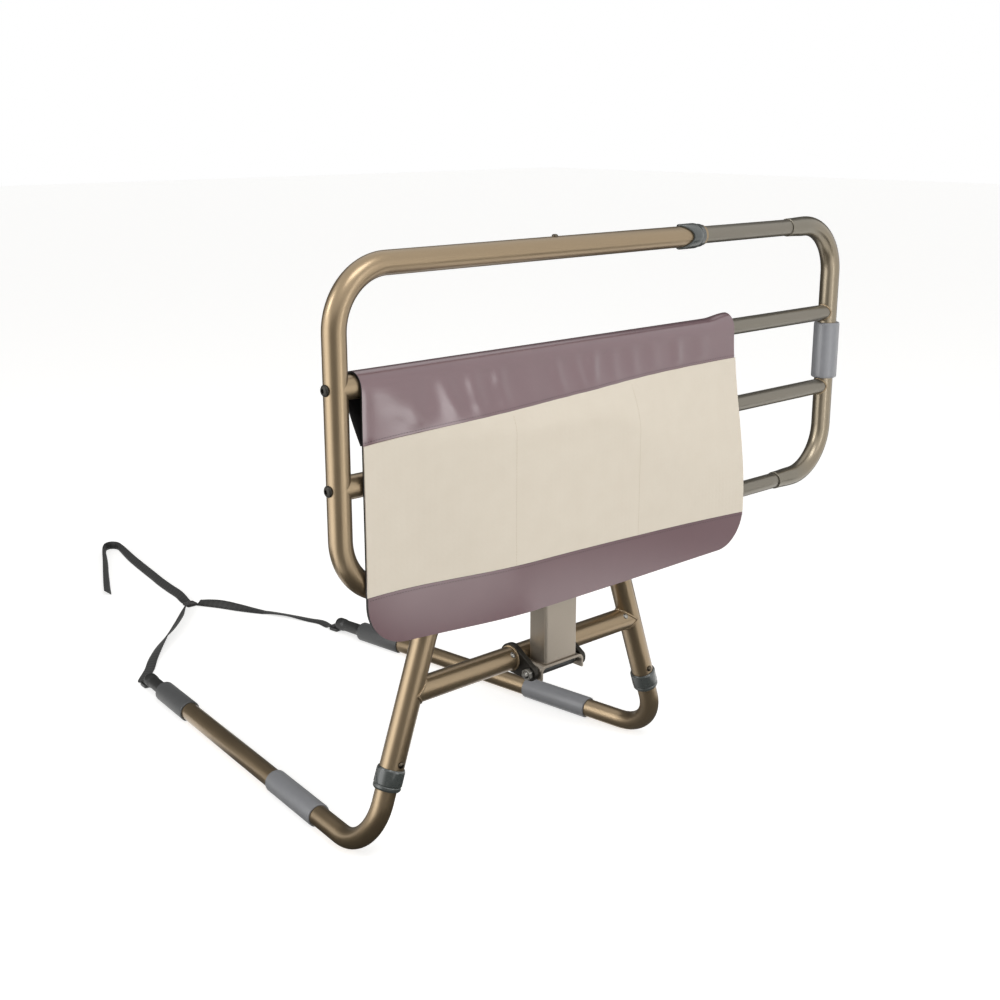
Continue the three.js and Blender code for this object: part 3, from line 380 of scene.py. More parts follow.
# The quads between rows of points, where the rows, or the points of a row, may close on themselves.
def gridFaces(rows, count, rowsClose=False, rowCloses=True):
    return [(i * count + k, i * count + (k + 1) % count,
             (i + 1) % rows * count + (k + 1) % count, (i + 1) % rows * count + k)
            for i in range(rows if rowsClose else rows - 1)
            for k in range(count if rowCloses else count - 1)]


def addMap(piece, name, spots):
    layer = piece.data.uv_layers.new(name=name)
    for loop in piece.data.loops:
        layer.data[loop.index].uv = spots[loop.vertex_index]


# Bakes a piece's modifiers into a plain mesh.
def baked(piece):
    bpy.context.view_layer.update()
    evaluated = piece.evaluated_get(bpy.context.evaluated_depsgraph_get())
    mesh = bpy.data.meshes.new_from_object(evaluated)
    piece.modifiers.clear()
    old = piece.data
    piece.data = mesh
    bpy.data.meshes.remove(old)
    mesh.name = piece.name
    return piece


def cutAway(piece, *cutters):
    for cutter in cutters:
        tool = piece.modifiers.new("cut", "BOOLEAN")
        tool.operation = "DIFFERENCE"
        tool.solver = "EXACT"
        tool.object = cutter
    baked(piece)
    for cutter in cutters:
        bpy.data.objects.remove(cutter)
    piece.data.set_sharp_from_angle(angle=radians(creases["cut"]))
    return piece


def weighNormals(piece, keepSharp):
    weigh = piece.modifiers.new("normals", "WEIGHTED_NORMAL")
    weigh.weight = bevels["normalWeight"]
    weigh.keep_sharp = keepSharp
    return piece


def rounded(piece, width, segments=2):
    bevel = piece.modifiers.new("edge", "BEVEL")
    bevel.width = width * mm
    bevel.segments = segments
    bevel.limit_method = "ANGLE"
    bevel.angle_limit = radians(bevels["fromAngle"])
    baked(piece)
    piece.data.shade_smooth()
    return weighNormals(piece, True)


def place(piece, body, slotName, *nodes):
    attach(piece, body)
    if nodes:
        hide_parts(*nodes)
    return piece


def aim(a, b):
    return (b - a).normalized()


# A path of (point, tangent) stations, with round bends and a close station at each end.
def bentPath(corners, bendRadius, endStep=tube["endStep"]):
    first, last = aim(corners[0], corners[1]), aim(corners[-2], corners[-1])
    stations = [(corners[0], first), (corners[0] + first * endStep * mm, first)]
    for before, corner, after in zip(corners, corners[1:], corners[2:]):
        into, out = aim(before, corner), aim(corner, after)
        turn = into.angle(out)
        inward = (out - into * cos(turn)).normalized()
        start = corner - into * bendRadius * mm * tan(turn / 2)
        count = ceil(turn / tube["bendStep"])
        for k in range(count + 1):
            angle = turn * k / count
            point = start + bendRadius * mm * (into * sin(angle) + inward * (1 - cos(angle)))
            stations.append((point, into * cos(angle) + inward * sin(angle)))
    return stations + [(corners[-1] - last * endStep * mm, last), (corners[-1], last)]


# A straight tube's stations. A wide end step keeps them clear of a coped end.
def straight(start, end):
    return bentPath([start, end], 0, tube["copedStep"])


# Frames carried along a path without twist.
def carriedFrames(stations):
    tangent = stations[0][1]
    normal = tangent.orthogonal().normalized()
    frames = []
    for point, heading in stations:
        normal = tangent.rotation_difference(heading) @ normal
        normal = (normal - heading * normal.dot(heading)).normalized()
        tangent = heading
        frames.append((point, heading, normal, heading.cross(normal)))
    return frames


# Slides a point along a direction to the near side of a round tube, given as a seat: a point on its
# axis, the axis and the radius.
def onTube(point, direction, seat):
    centre, axis, radius = seat
    start = point - direction * tube["copeReach"] * mm
    away = start - centre
    flatWay = direction - axis * direction.dot(axis)
    flatAway = away - axis * away.dot(axis)
    a = flatWay.dot(flatWay)
    b = 2 * flatWay.dot(flatAway)
    c = flatAway.dot(flatAway) - (radius * mm) ** 2
    root = b * b - 4 * a * c
    return start if root < 0 else start + direction * ((-b - sqrt(root)) / (2 * a))


def onCircle(centre, one, two, radius, k, steps):
    turn = 2 * pi * k / steps
    return centre + (one * cos(turn) + two * sin(turn)) * radius * mm


# A tube wall swept along stations: outside out, inside back, ends rounded over by lip.
def sweptTube(name, stations, radius, wall, material, radii=None, startSeat=None, endSeat=None, lip=0.3):
    frames = carriedFrames(stations)
    last = len(frames) - 1
    vertices = []

    def ring(index, size, shift=0.0):
        point, heading, normal, side = frames[index]
        for k in range(tube["sides"]):
            spot = onCircle(point + heading * shift * mm, normal, side, size, k, tube["sides"])
            if index == 0 and startSeat:
                spot = onTube(spot, -heading, startSeat)
            if index == last and endSeat:
                spot = onTube(spot, heading, endSeat)
            vertices.append(spot)

    sizes = radii or [radius] * len(frames)
    ring(0, sizes[0] - lip)
    ring(0, sizes[0], lip)
    for index in range(1, last):
        ring(index, sizes[index])
    ring(last, sizes[last], -lip)
    ring(last, sizes[last] - lip)
    for index in range(last, -1, -1):
        ring(index, sizes[index] - wall)
    faces = gridFaces(len(vertices) // tube["sides"], tube["sides"], True)
    return outwards(linkMesh(name, vertices, faces, material), creases["swept"])


# Gives a profile's corners a small round. The ends of an open profile stay.
def softened(profile, size, closed):
    points = [Vector(p) for p in profile]
    out = []
    for i, corner in enumerate(points):
        if not closed and i in (0, len(points) - 1):
            out.append(corner)
            continue
        back, ahead = points[i - 1] - corner, points[(i + 1) % len(points)] - corner
        cut = min(size, 0.42 * back.length, 0.42 * ahead.length)
        a = corner + back.normalized() * cut
        b = corner + ahead.normalized() * cut
        out += [a, a.lerp(corner, 0.55).lerp(corner.lerp(b, 0.45), 0.5), b]
    return out


# Turns a profile of (radius, distance) points round an axis. One that starts on the axis stays open.
def turned(name, profile, start, axis, material, steps=64, soften=0.4):
    closed = profile[0][0] > 0
    turnTo = up.rotation_difference(axis).to_matrix()
    vertices, rows = [], []
    for radius, along in softened(profile, soften, closed):
        count = 1 if radius < 1e-6 else steps
        rows.append(list(range(len(vertices), len(vertices) + count)))
        for k in range(count):
            turn = 2 * pi * k / steps
            spot = Vector((radius * cos(turn), radius * sin(turn), along)) * mm
            vertices.append(start + turnTo @ spot)
    faces = []
    for one, two in list(zip(rows, rows[1:])) + ([(rows[-1], rows[0])] if closed else []):
        for k in range(steps):
            face = tuple(dict.fromkeys((one[k % len(one)], one[(k + 1) % len(one)],
                                        two[(k + 1) % len(two)], two[k % len(two)])))
            if len(face) > 2:
                faces.append(face)
    return outwards(linkMesh(name, vertices, faces, material), creases["turned"])


# Extrudes a closed outline of (across, up) points between two depths.
def extruded(name, outline, low, high, toPlace, material):
    count = len(outline)
    vertices = [toPlace(a, b, depth) for depth in (low, high) for a, b in outline]
    faces = [tuple(range(count))[::-1], tuple(range(count, 2 * count))] + gridFaces(2, count)
    return outwards(linkMesh(name, vertices, faces, material, False))


def arc(centre, radius, start, end, steps):
    turns = [start + (end - start) * k / steps for k in range(steps + 1)]
    return [(centre[0] + radius * cos(turn), centre[1] + radius * sin(turn)) for turn in turns]


def roundBox(width, depth, corner, steps=6):
    x, y = width / 2 - corner, depth / 2 - corner
    outline = []
    for i, centre in enumerate([(x, y), (-x, y), (-x, -y), (x, -y)]):
        outline += arc(centre, corner, i * pi / 2, (i + 1) * pi / 2, steps)
    return outline


def cutterRod(start, axis, length, radius):
    profile = [(0, 0), (radius, 0), (radius, length), (0, length)]
    return turned("cutter", profile, start, axis, finish["black"], 32, 0.0)


# Geometry Nodes

# Starts a tree whose sockets are (name, kind, default value).
def nodeTree(name, sockets):
    tree = bpy.data.node_groups.new(name, "GeometryNodeTree")
    tree.interface.new_socket("Geometry", in_out="INPUT", socket_type="NodeSocketGeometry")
    tree.interface.new_socket("Geometry", in_out="OUTPUT", socket_type="NodeSocketGeometry")
    for label, kind, value in sockets:
        socket = tree.interface.new_socket(label, in_out="INPUT", socket_type=kind)
        if value is not None:
            socket.default_value = value
    source = addNode(tree, "NodeGroupInput").outputs
    return tree, source, addNode(tree, "GeometryNodeMeshToCurve", {0: source[0]}).outputs[0]


def closeTree(tree, shape, material):
    real = addNode(tree, "GeometryNodeRealizeInstances", {0: shape})
    painted = addNode(tree, "GeometryNodeSetMaterial",
                      {"Geometry": real.outputs[0], "Material": material})
    smooth = addNode(tree, "GeometryNodeSetShadeSmooth", {0: painted.outputs[0]})
    addNode(tree, "NodeGroupOutput", {0: smooth.outputs[0]})
    return tree


# A piece made by a tree from a line of points.
def grownOnLine(name, points, tree, values, material, loop=False):
    last = len(points) - 1
    edges = [(i, i + 1) for i in range(last)] + ([(last, 0)] if loop else [])
    piece = linkMesh(name, points, [], [], False, edges)
    modifier = piece.modifiers.new(tree.name, "NODES")
    modifier.node_group = tree
    inputs = dict(values, Material=material)
    for item in tree.interface.items_tree:
        if item.in_out == "INPUT" and item.name in inputs:
            modifier[item.identifier] = inputs[item.name]
    return baked(piece)


bead = dict(radius=1.5, dropPitch=1.7, step=0.45, swell=0.13, sides=10)


# A weld bead: a small round section along a line, swelling once for each drop of the weld.
def weldTree():
    tree, source, line = nodeTree("weldBead", [
        ("Bead Radius", "NodeSocketFloat", bead["radius"] * mm),
        ("Drop Pitch", "NodeSocketFloat", bead["dropPitch"] * mm),
        ("Material", "NodeSocketMaterial", None),
    ])
    even = addNode(tree, "GeometryNodeResampleCurve", {0: line, "Length": bead["step"] * mm},
                   mode="LENGTH")
    along = addNode(tree, "GeometryNodeSplineParameter").outputs["Length"]
    turns = addNode(tree, "ShaderNodeMath", {0: along, 1: source["Drop Pitch"]}, operation="DIVIDE")
    angle = addNode(tree, "ShaderNodeMath", {0: turns.outputs[0], 1: 2 * pi}, operation="MULTIPLY")
    wave = addNode(tree, "ShaderNodeMath", {0: angle.outputs[0]}, operation="SINE")
    swell = addNode(tree, "ShaderNodeMath", {0: wave.outputs[0], 1: bead["swell"], 2: 1.0},
                    operation="MULTIPLY_ADD")
    sized = addNode(tree, "GeometryNodeSetCurveRadius", {0: even.outputs[0], "Radius": swell.outputs[0]})
    section = addNode(tree, "GeometryNodeCurvePrimitiveCircle",
                      {"Resolution": bead["sides"], "Radius": source["Bead Radius"]})
    shape = addNode(tree, "GeometryNodeCurveToMesh", {0: sized.outputs[0], 1: section.outputs[0]})
    if "Scale" in shape.inputs:
        tree.links.new(swell.outputs[0], shape.inputs["Scale"])
    return closeTree(tree, shape.outputs[0], source["Material"])


# A row of stitches: short thick threads laid along a line, one for each pitch.
def stitchTree():
    tree, source, line = nodeTree("stitchRow", [
        ("Pitch", "NodeSocketFloat", 4.0 * mm),
        ("Thread", "NodeSocketFloat", 0.45 * mm),
        ("Stitch Share", "NodeSocketFloat", 0.66),
        ("Material", "NodeSocketMaterial", None),
    ])
    spots = addNode(tree, "GeometryNodeCurveToPoints", {0: line, "Length": source["Pitch"]},
                    mode="LENGTH")
    ball = addNode(tree, "GeometryNodeMeshUVSphere", {"Segments": 8, "Rings": 6, "Radius": 1.0})
    long = addNode(tree, "ShaderNodeMath", {0: source["Pitch"], 1: source["Stitch Share"]},
                   operation="MULTIPLY")
    half = addNode(tree, "ShaderNodeMath", {0: long.outputs[0], 1: 0.5}, operation="MULTIPLY")
    size = addNode(tree, "ShaderNodeCombineXYZ",
                   {0: source["Thread"], 1: source["Thread"], 2: half.outputs[0]})
    put = addNode(tree, "GeometryNodeInstanceOnPoints",
                  {"Points": spots.outputs["Points"], "Instance": ball.outputs[0],
                   "Rotation": spots.outputs["Rotation"], "Scale": size.outputs[0]})
    return closeTree(tree, put.outputs[0], source["Material"])


weldNodes = weldTree()
stitchNodes = stitchTree()


def weld(name, points, body, slotName, material, radius=bead["radius"]):
    return place(grownOnLine(name, points, weldNodes, {"Bead Radius": radius * mm}, material, True),
                 body, slotName)


# A row of stitches, with its pitch and thread radius.
def stitchRow(name, points, body, slotName, material, pitch, thread, loop=False):
    return place(grownOnLine(name, points, stitchNodes, {"Pitch": pitch * mm, "Thread": thread * mm},
                             material, loop), body, slotName)


# The line where a round bar meets a round tube.
def saddle(centre, direction, radius, seat, steps=48):
    normal = direction.orthogonal().normalized()
    side = direction.cross(normal)
    return [onTube(onCircle(centre, normal, side, radius, k, steps), direction, seat)
            for k in range(steps)]


# Straps on the floor

strap = dict(width=15.0, thick=1.5, floor=0.2, originX=266.6, junctionX=54.0, junctionY=272.0,
             junctionSize=20.0, junctionHeight=4.0, junctionCorner=3.3, tuck=6.0, seamInset=2.5,
             step=2.5, heldLength=60.0, stitchPitch=2.4, stitchThread=0.35)
leg = dict(toeIn=radians(6.5), splay=radians(19.2), centreX=266.6, halfSpread=240.2, bend=60.0,
           barLength=618.0, inside=238.6, wall=3.0, tubeShort=6.5, holePitch=30.0, holeCount=4,
           buttonAt=110.0, frontStart=115.0, frontLength=110.0, rearLength=87.0, rearInset=52.0,
           sleeveWall=2.0, capFlange=4.0, neckRadius=9.0, eyeLength=14.0, eyeWidth=19.0,
           eyeHeight=5.0, eyeFloor=0.4, slotWidth=16.0, slotLength=6.5, offFloor=0.15)


# A leg's corner on the floor, and the directions of its upright and of its bar.
def legLine(side):
    corner = at(leg["centreX"] + side * leg["halfSpread"], baseY, tube["leg"])
    rise = Vector((-side * sin(leg["splay"]), 0, cos(leg["splay"])))
    bar = Vector((-side * sin(leg["toeIn"]), cos(leg["toeIn"]), 0))
    return corner, rise, bar


def strapSpot(x, y):
    endY = baseY + cos(leg["toeIn"]) * leg["barLength"]
    return at(strap["originX"] + x, endY + y, strap["floor"] + strap["thick"] / 2)


# Routes as in the solids, from the middle of the line through the bars' ends, with the band's lean
# in degrees from lying flat. At 90 it stands on its edge.
leftRoute = [(-140, 60, 0), (-116, 92, 8), (-88, 124, 24), (-58, 154, 50), (-26, 184, 74),
             (2, 214, 84), (24, 239, 80), (42.4, 264.5, 60)]
rightRoute = [(167, 52, 4), (156, 83, -4), (144, 114, -13), (129, 148, -4), (114, 172, 14),
              (100, 196, 34), (84, 228, 50), (65.8, 264.1, 24)]
tailRoute = [(59, 320, 50), (63, 356, 52), (69, 398, 50), (76, 438, 52), (83, 478, 50), (90, 518, 50),
             (97, 556, 52), (105, 594, 60), (112, 628, 74), (113, 644, 84), (106, 654, 88),
             (95, 652, 84), (84, 638, 72), (70, 610, 60), (50, 568, 52), (30, 528, 50), (8, 483, 44),
             (-10, 446, 40), (-25, 414, 36)]


# A value between q and r on the smooth line through p, q, r and s.
def eased(p, q, r, s, t):
    return 0.5 * (2 * q + (r - p) * t + (2 * p - 5 * q + 4 * r - s) * t * t
                  + (3 * q - p - 3 * r + s) * t ** 3)


# A smooth line through (point, lean) stations, with more stations between them.
def smoothLine(stations):
    out = []
    for i in range(len(stations) - 1):
        near = [stations[min(max(j, 0), len(stations) - 1)] for j in range(i - 1, i + 3)]
        points, leans = zip(*near)
        count = max(2, ceil((points[2] - points[1]).length / (strap["step"] * mm)))
        out += [(eased(*points, k / count), eased(*leans, k / count)) for k in range(count)]
    return out + [stations[-1]]


# A flat band with rounded edges along (point, lean) stations. A leaning band is lifted onto its edge.
def webbingBand(name, stations):
    half, rim = strap["width"] / 2, strap["thick"] / 2
    section = [(-half + rim, -rim), (0, -rim), (half - rim, -rim), (half, 0),
               (half - rim, rim), (0, rim), (-half + rim, rim), (-half, 0)]
    vertices, spots, centres = [], [], []
    run = 0.0
    for i, (point, lean) in enumerate(stations):
        before, after = stations[max(i - 1, 0)][0], stations[min(i + 1, len(stations) - 1)][0]
        heading = aim(before, after)
        side = heading.cross(up).normalized()
        over = side.cross(heading)
        c, s = cos(radians(lean)), sin(radians(lean))
        lift = half * abs(s) + rim * (abs(c) - 1)
        centre = point + Vector((0, 0, lift * mm))
        run += (point - before).length if i else 0.0
        centres.append(centre)
        vertices += [centre + (side * (a * c - b * s) + over * (a * s + b * c)) * mm for a, b in section]
        spots += [(a * mm, run) for a, b in section]
    n, rows = len(section), len(stations)
    faces = gridFaces(rows, n) + [tuple(range(n))[::-1], tuple(range((rows - 1) * n, rows * n))]
    piece = outwards(linkMesh(name, vertices, faces, finish["webbing"]), creases["swept"])
    addMap(piece, "bandMap", spots)
    return piece, centres


def leaning(route):
    return [(strapSpot(x, y), float(lean)) for x, y, lean in route]


# A strap comes up through its leg's eye, over the end of the eye and down to the floor.
def makeLegStrap(side, name, route):
    corner, _, bar = legLine(side)
    slotAt = leg["barLength"] + leg["capFlange"] / 2 + leg["eyeLength"] / 2
    over = leg["eyeFloor"] + leg["eyeHeight"] + strap["thick"] / 2 + 0.1
    flat = strap["floor"] + strap["thick"] / 2
    threaded = [(slotAt, 3.2), (slotAt + 0.3, over - 0.6), (slotAt + 2.2, over + 0.4),
                (slotAt + 6.5, over + 0.5), (slotAt + 10.6, over - 0.6), (slotAt + 15, flat + 1.6),
                (slotAt + 21, flat)]
    start = [(Vector((*(corner + bar * d * mm).xy, z * mm)), 0.0) for d, z in threaded]
    band, centres = webbingBand("strap_band_" + name, smoothLine(start + leaning(route)))
    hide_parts("strap_" + name)
    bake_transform(band)


def makeTailStrap(junction):
    size, height = strap["junctionSize"], strap["junctionHeight"]
    startY = strap["junctionY"] + size / 2 - strap["tuck"]
    head = [(strap["junctionX"], startY, 0), (strap["junctionX"] + 0.5, startY + 14, 16)]
    tail, centres = webbingBand("strap_band_tail", smoothLine(leaning(head + tailRoute)))

    def toFloor(a, b, depth):
        return Vector((junction.x + a * mm, junction.y + b * mm, (strap["floor"] + depth) * mm))

    knot = extruded("strap_knot", roundBox(size, size, strap["junctionCorner"]), 0, height, toFloor,
                    finish["webbing"])
    rounded(knot, 1.2, 3)
    addMap(knot, "bandMap", [vertex.co.xy for vertex in knot.data.vertices])
    place(knot, "base_frame", "black_webbing", "strap_junction")
    seam = size - 2 * strap["seamInset"]
    box = [toFloor(a, b, height + 0.1) for a, b in roundBox(seam, seam, 1.0, 2)]
    cross = [toFloor(a, a, height + 0.15) for a in (-7, 0, 7)]
    for label, line in (("box", box), ("cross", cross)):
        stitchRow("strap_stitch_" + label, line, "base_frame", "black_webbing", finish["threadDark"],
                  strap["stitchPitch"], strap["stitchThread"], label == "box")
    place(tail, "base_frame", "black_webbing", "strap_tail")


sewnSpot = strapSpot(strap["junctionX"], strap["junctionY"])
makeLegStrap(-1, "left", leftRoute)
makeLegStrap(1, "right", rightRoute)
makeTailStrap(sewnSpot)
print("straps laid")


# Base frame

base = dict(topZ=285.0, bend=50.0, wall=1.2, crossbarZ=190.0, uprightStart=82.3, collarStart=78.0,
            collarLength=25.0, collarWall=2.2, collarLip=4.0, buttonRadius=3.5, buttonProud=2.5,
            boreLength=18.0, boreRoom=0.4, weldFrom=150.0, rivets=(233.0, 426.0), rivetLean=0.75)


def alongUpright(side, distance):
    corner, rise, _ = legLine(side)
    return corner + rise * distance * mm


def uprightAt(side, z):
    return alongUpright(side, (z - tube["leg"]) / cos(leg["splay"]))


def snapButton(name, axisPoint, axis, outer, body, node):
    radius, top = base["buttonRadius"], outer + base["buttonProud"]
    dome = [(0, top), (radius * 0.45, top - 0.12), (radius * 0.8, top - 0.6), (radius, top - 1.3),
            (radius, outer - 1.0), (0, outer - 1.0)]
    place(turned(name, dome, axisPoint, axis, finish["buttonSteel"], 32, 0.1), body, "zinc_steel", node)


# A cutter for a snap button's hole through one wall of a tube.
def buttonBore(spot, axis):
    return cutterRod(spot, axis, base["boreLength"], base["buttonRadius"] + base["boreRoom"])


def makeUpright():
    corners = [alongUpright(-1, base["uprightStart"]), uprightAt(-1, base["topZ"]),
               uprightAt(1, base["topZ"]), alongUpright(1, base["uprightStart"])]
    upright = sweptTube("upright_tube", bentPath(corners, base["bend"]), tube["base"], base["wall"],
                        finish["bronze"])
    cutAway(upright, *[buttonBore(alongUpright(side, leg["buttonAt"]), front) for side in (-1, 1)])
    place(upright, "base_frame", "bronze_paint", "upright_frame")


def makeCrossbar():
    ends = [uprightAt(side, base["crossbarZ"]) for side in (-1, 1)]
    seats = [(*legLine(side)[:2], tube["base"]) for side in (-1, 1)]
    bar = sweptTube("crossbar_tube", straight(*ends), tube["base"], base["wall"], finish["bronze"],
                    startSeat=seats[0], endSeat=seats[1])
    place(bar, "base_frame", "bronze_paint", "crossbar")
    across, middle = aim(*ends), (ends[0] + ends[1]) / 2
    for (side, name), seat in zip(sides, seats):
        start = middle + across * side * base["weldFrom"] * mm
        line = saddle(start, across * side, tube["base"], seat)
        weld("crossbar_weld_" + name, line, "base_frame", "bronze_paint", finish["bronze"])

    # Two domed rivets on the crossbar's front, beside the left lug and by the right upright.
    dome = [(0, 1.9), (1.6, 1.7), (2.9, 1.1), (3.6, 0.2), (3.6, -0.8), (0, -0.8)]
    lean = Vector((0, -1, base["rivetLean"])).normalized()
    for number, x in enumerate(base["rivets"], 1):
        spot = at(x, baseY, base["crossbarZ"]) + lean * tube["base"] * mm
        rivet = turned("crossbar_rivet_" + str(number), dome, spot, lean, finish["zinc"], 32, 0.2)
        place(rivet, "base_frame", "zinc_steel")


def makeLegCollar(side, name):
    outer, bore, lipBore = tube["base"] + base["collarWall"], tube["base"] + 0.25, tube["leg"] + 0.4
    length, lip = base["collarLength"], base["collarLip"]
    profile = [(lipBore, 0), (outer - 1.7, 0), (outer - 0.3, 2.0), (outer - 0.3, 4.6),
               (outer - 0.8, 5.1), (outer - 0.8, 6.0), (outer, 6.6), (outer, length - 2.4),
               (outer - 1.1, length), (bore, length), (bore, lip), (lipBore, lip)]
    collar = turned("leg_collar_" + name + "_moulded", profile, alongUpright(side, base["collarStart"]),
                    legLine(side)[1], finish["plastic"])
    place(collar, "base_frame", "dark_plastic", "leg_collar_" + name)
    snapButton("leg_snap_" + name, alongUpright(side, leg["buttonAt"]), front, tube["base"],
               name + "_leg_button", "leg_button_" + name)


makeUpright()
makeCrossbar()
for side, name in sides:
    makeLegCollar(side, name)
print("base frame made")


# Legs

def keepOffFloor(piece):
    for vertex in piece.data.vertices:
        vertex.co.z = max(vertex.co.z, leg["offFloor"] * mm)


def makeLegTube(side, name):
    corner, rise, bar = legLine(side)
    tubeEnd = leg["barLength"] - leg["rearInset"] - leg["tubeShort"]
    path = bentPath([corner + rise * leg["inside"] * mm, corner, corner + bar * tubeEnd * mm],
                    leg["bend"])
    legTube = sweptTube("leg_tube_" + name, path, tube["leg"], leg["wall"], finish["bronze"], lip=0.5)
    cutAway(legTube, *[buttonBore(alongUpright(side, leg["buttonAt"] + k * leg["holePitch"]), front)
                       for k in range(leg["holeCount"])])
    place(legTube, name + "_leg", "bronze_paint", "leg_" + name)


def makeSleeve(side, name, label, start, length, material, slotName):
    corner, _, bar = legLine(side)
    bore, outer = tube["leg"] + 0.15, tube["leg"] + seatGap + leg["sleeveWall"]
    profile = [(bore, 0), (outer - 0.9, 0.0), (outer, 1.1), (outer, length - 1.1), (outer - 0.9, length),
               (bore, length)]
    sleeve = turned("foam_sleeve_" + label + "_" + name, profile, corner + bar * start * mm, bar,
                    material, 64, 0.8)
    keepOffFloor(sleeve)
    place(sleeve, name + "_leg", slotName, "leg_sleeve_" + label + "_" + name)


# The leg's end plug: a neck that comes out of the rear sleeve, and a flat eye for the strap.
def makeStrapCap(side, name):
    corner, _, bar = legLine(side)
    deep, neck, flange = -leg["rearInset"], leg["neckRadius"], leg["capFlange"]
    plug = [(0, deep - 6), (tube["leg"], deep - 6), (tube["leg"], deep + 0.8),
            (tube["leg"] - 1, deep + 2.4), (neck + 0.9, deep + 4.5), (neck, deep + 8.5),
            (neck - 0.2, -14), (neck + 0.8, -9), (neck + 0.9, 0), (neck, flange - 0.8),
            (neck - 2.4, flange), (0, flange)]
    cap = turned("strap_cap_plug_" + name, plug, corner + bar * leg["barLength"] * mm, bar,
                 finish["plasticDark"], 64, 0.5)
    keepOffFloor(cap)
    across = Vector((bar.y, -bar.x, 0))
    centre = corner + bar * (leg["barLength"] + flange / 2 + leg["eyeLength"] / 2) * mm

    def toPlate(a, b, depth):
        return Vector((*(centre + (across * a + bar * b) * mm).xy, depth * mm))

    low, high = leg["eyeFloor"], leg["eyeFloor"] + leg["eyeHeight"]
    eye = extruded("strap_eye_" + name, roundBox(leg["eyeWidth"], leg["eyeLength"] + flange, 2.5),
                   low, high, toPlate, finish["plasticDark"])
    gap = extruded("cutter", roundBox(leg["slotWidth"], leg["slotLength"], 2.1), low - 2, high + 2,
                   toPlate, finish["plasticDark"])
    rounded(cutAway(eye, gap), 0.6)
    place(eye, name + "_leg", "dark_plastic")
    place(cap, name + "_leg", "dark_plastic", "strap_cap_" + name)


for side, name in sides:
    makeLegTube(side, name)
    makeSleeve(side, name, "front", leg["frontStart"], leg["frontLength"], finish["foam"], "grey_foam")
    makeSleeve(side, name, "rear", leg["barLength"] - leg["rearInset"] - leg["rearLength"],
               leg["rearLength"], finish["foamDark"], "dark_foam")
    makeStrapCap(side, name)
print("legs made")


# Foot and post

post = dict(x=281.0, width=51.0, depth=28.0, wall=1.2, corner=3.0, top=452.0, bottom=189.3,
            capPlate=3.0, tongueHeight=92.0, tongueWall=2.0, tongueRoom=0.5, tongueCorner=2.4)
foot = dict(width=69.4, depth=25.0, height=17.0, plate=3.0, bend=8.0, pivotY=-31.0, pivotZ=180.0,
            boltRadius=4.0, lugThick=6.5, lugEye=17.6, lugNose=9.5, nutWidth=7.9, nutThick=6.0,
            threadPitch=1.0, threadTurns=3)
post["y"] = -tube["radius"] - seatGap - post["depth"] / 2
lugInside = foot["width"] / 2 + 2 * seatGap
lugOutside = lugInside + foot["lugThick"]


# A square tube with rounded corners, as one closed wall.
def squareTube(name, width, depth, wall, corner, low, high, material, rim=0.25):
    outer = roundBox(width, depth, corner)
    inner = roundBox(width - 2 * wall, depth - 2 * wall, max(corner - wall / 2, 0.8))
    slim = roundBox(width - 2 * rim, depth - 2 * rim, corner - rim)
    layers = [(slim, low), (outer, low + rim), (outer, low + 2), (outer, high - 2), (outer, high - rim),
              (slim, high), (inner, high), (inner, low)]
    vertices = [at(post["x"] + a, post["y"] + b, z) for outline, z in layers for a, b in outline]
    faces = gridFaces(len(layers), len(outer), True)
    return weighNormals(outwards(linkMesh(name, vertices, faces, material)), False)


def makePost():
    capUnder = post["top"] - post["capPlate"]
    box = squareTube("post_tube", post["width"], post["depth"], post["wall"], post["corner"],
                     post["bottom"], capUnder - seatGap, finish["post"])
    place(box, "left_rail", "post_paint", "post")
    shrink = 2 * (post["wall"] + post["tongueRoom"])
    tongue = squareTube("tongue_tube", post["width"] - shrink, post["depth"] - shrink,
                        post["tongueWall"], post["tongueCorner"], post["bottom"],
                        post["bottom"] + post["tongueHeight"], finish["black"])
    place(tongue, "fold_foot", "black_steel", "post_tongue")

    def toCap(a, b, depth):
        return at(post["x"] + a, post["y"] + b, depth)

    plate = extruded("post_cap_plate", roundBox(post["width"], post["depth"], post["corner"]), capUnder,
                     post["top"], toCap, finish["plasticDark"])
    place(rounded(plate, 0.9, 3), "left_rail", "dark_plastic", "post_cap")


# The bracket is a channel folded from plate, bored through both sides for the pivot bolt.
def makeBracket():
    half, bend, plate, height = foot["width"] / 2, foot["bend"], foot["plate"], foot["height"]
    outline = [(-half, -height), (-half + plate, -height)]
    outline += arc((-half + bend, -bend), bend - plate, pi, pi / 2, 8)
    outline += arc((half - bend, -bend), bend - plate, pi / 2, 0, 8)
    outline += [(half - plate, -height), (half, -height)]
    outline += arc((half - bend, -bend), bend, 0, pi / 2, 10)
    outline += arc((-half + bend, -bend), bend, pi / 2, pi, 10)

    def toFoot(a, b, depth):
        return at(post["x"] + a, foot["pivotY"] + foot["depth"] / 2 - depth,
                  post["bottom"] - seatGap + b)

    bracket = extruded("foot_channel", outline, 0, foot["depth"], toFoot, finish["post"])
    start = at(post["x"], foot["pivotY"], foot["pivotZ"]) - alongX * (half + 3) * mm
    rounded(cutAway(bracket, cutterRod(start, alongX, foot["width"] + 6, foot["boltRadius"] + 0.3)), 0.5)
    place(bracket, "fold_foot", "post_paint", "foot_bracket")

    # The tongue is welded to the foot inside the post's lower end.
    skirt = [at(post["x"] + a, post["y"] + b, post["bottom"] + 0.9)
             for a, b in roundBox(post["width"] - 2.0, post["depth"] - 2.0, 3.0, 4)]
    weld("foot_weld", skirt, "fold_foot", "post_paint", finish["post"], 0.9)


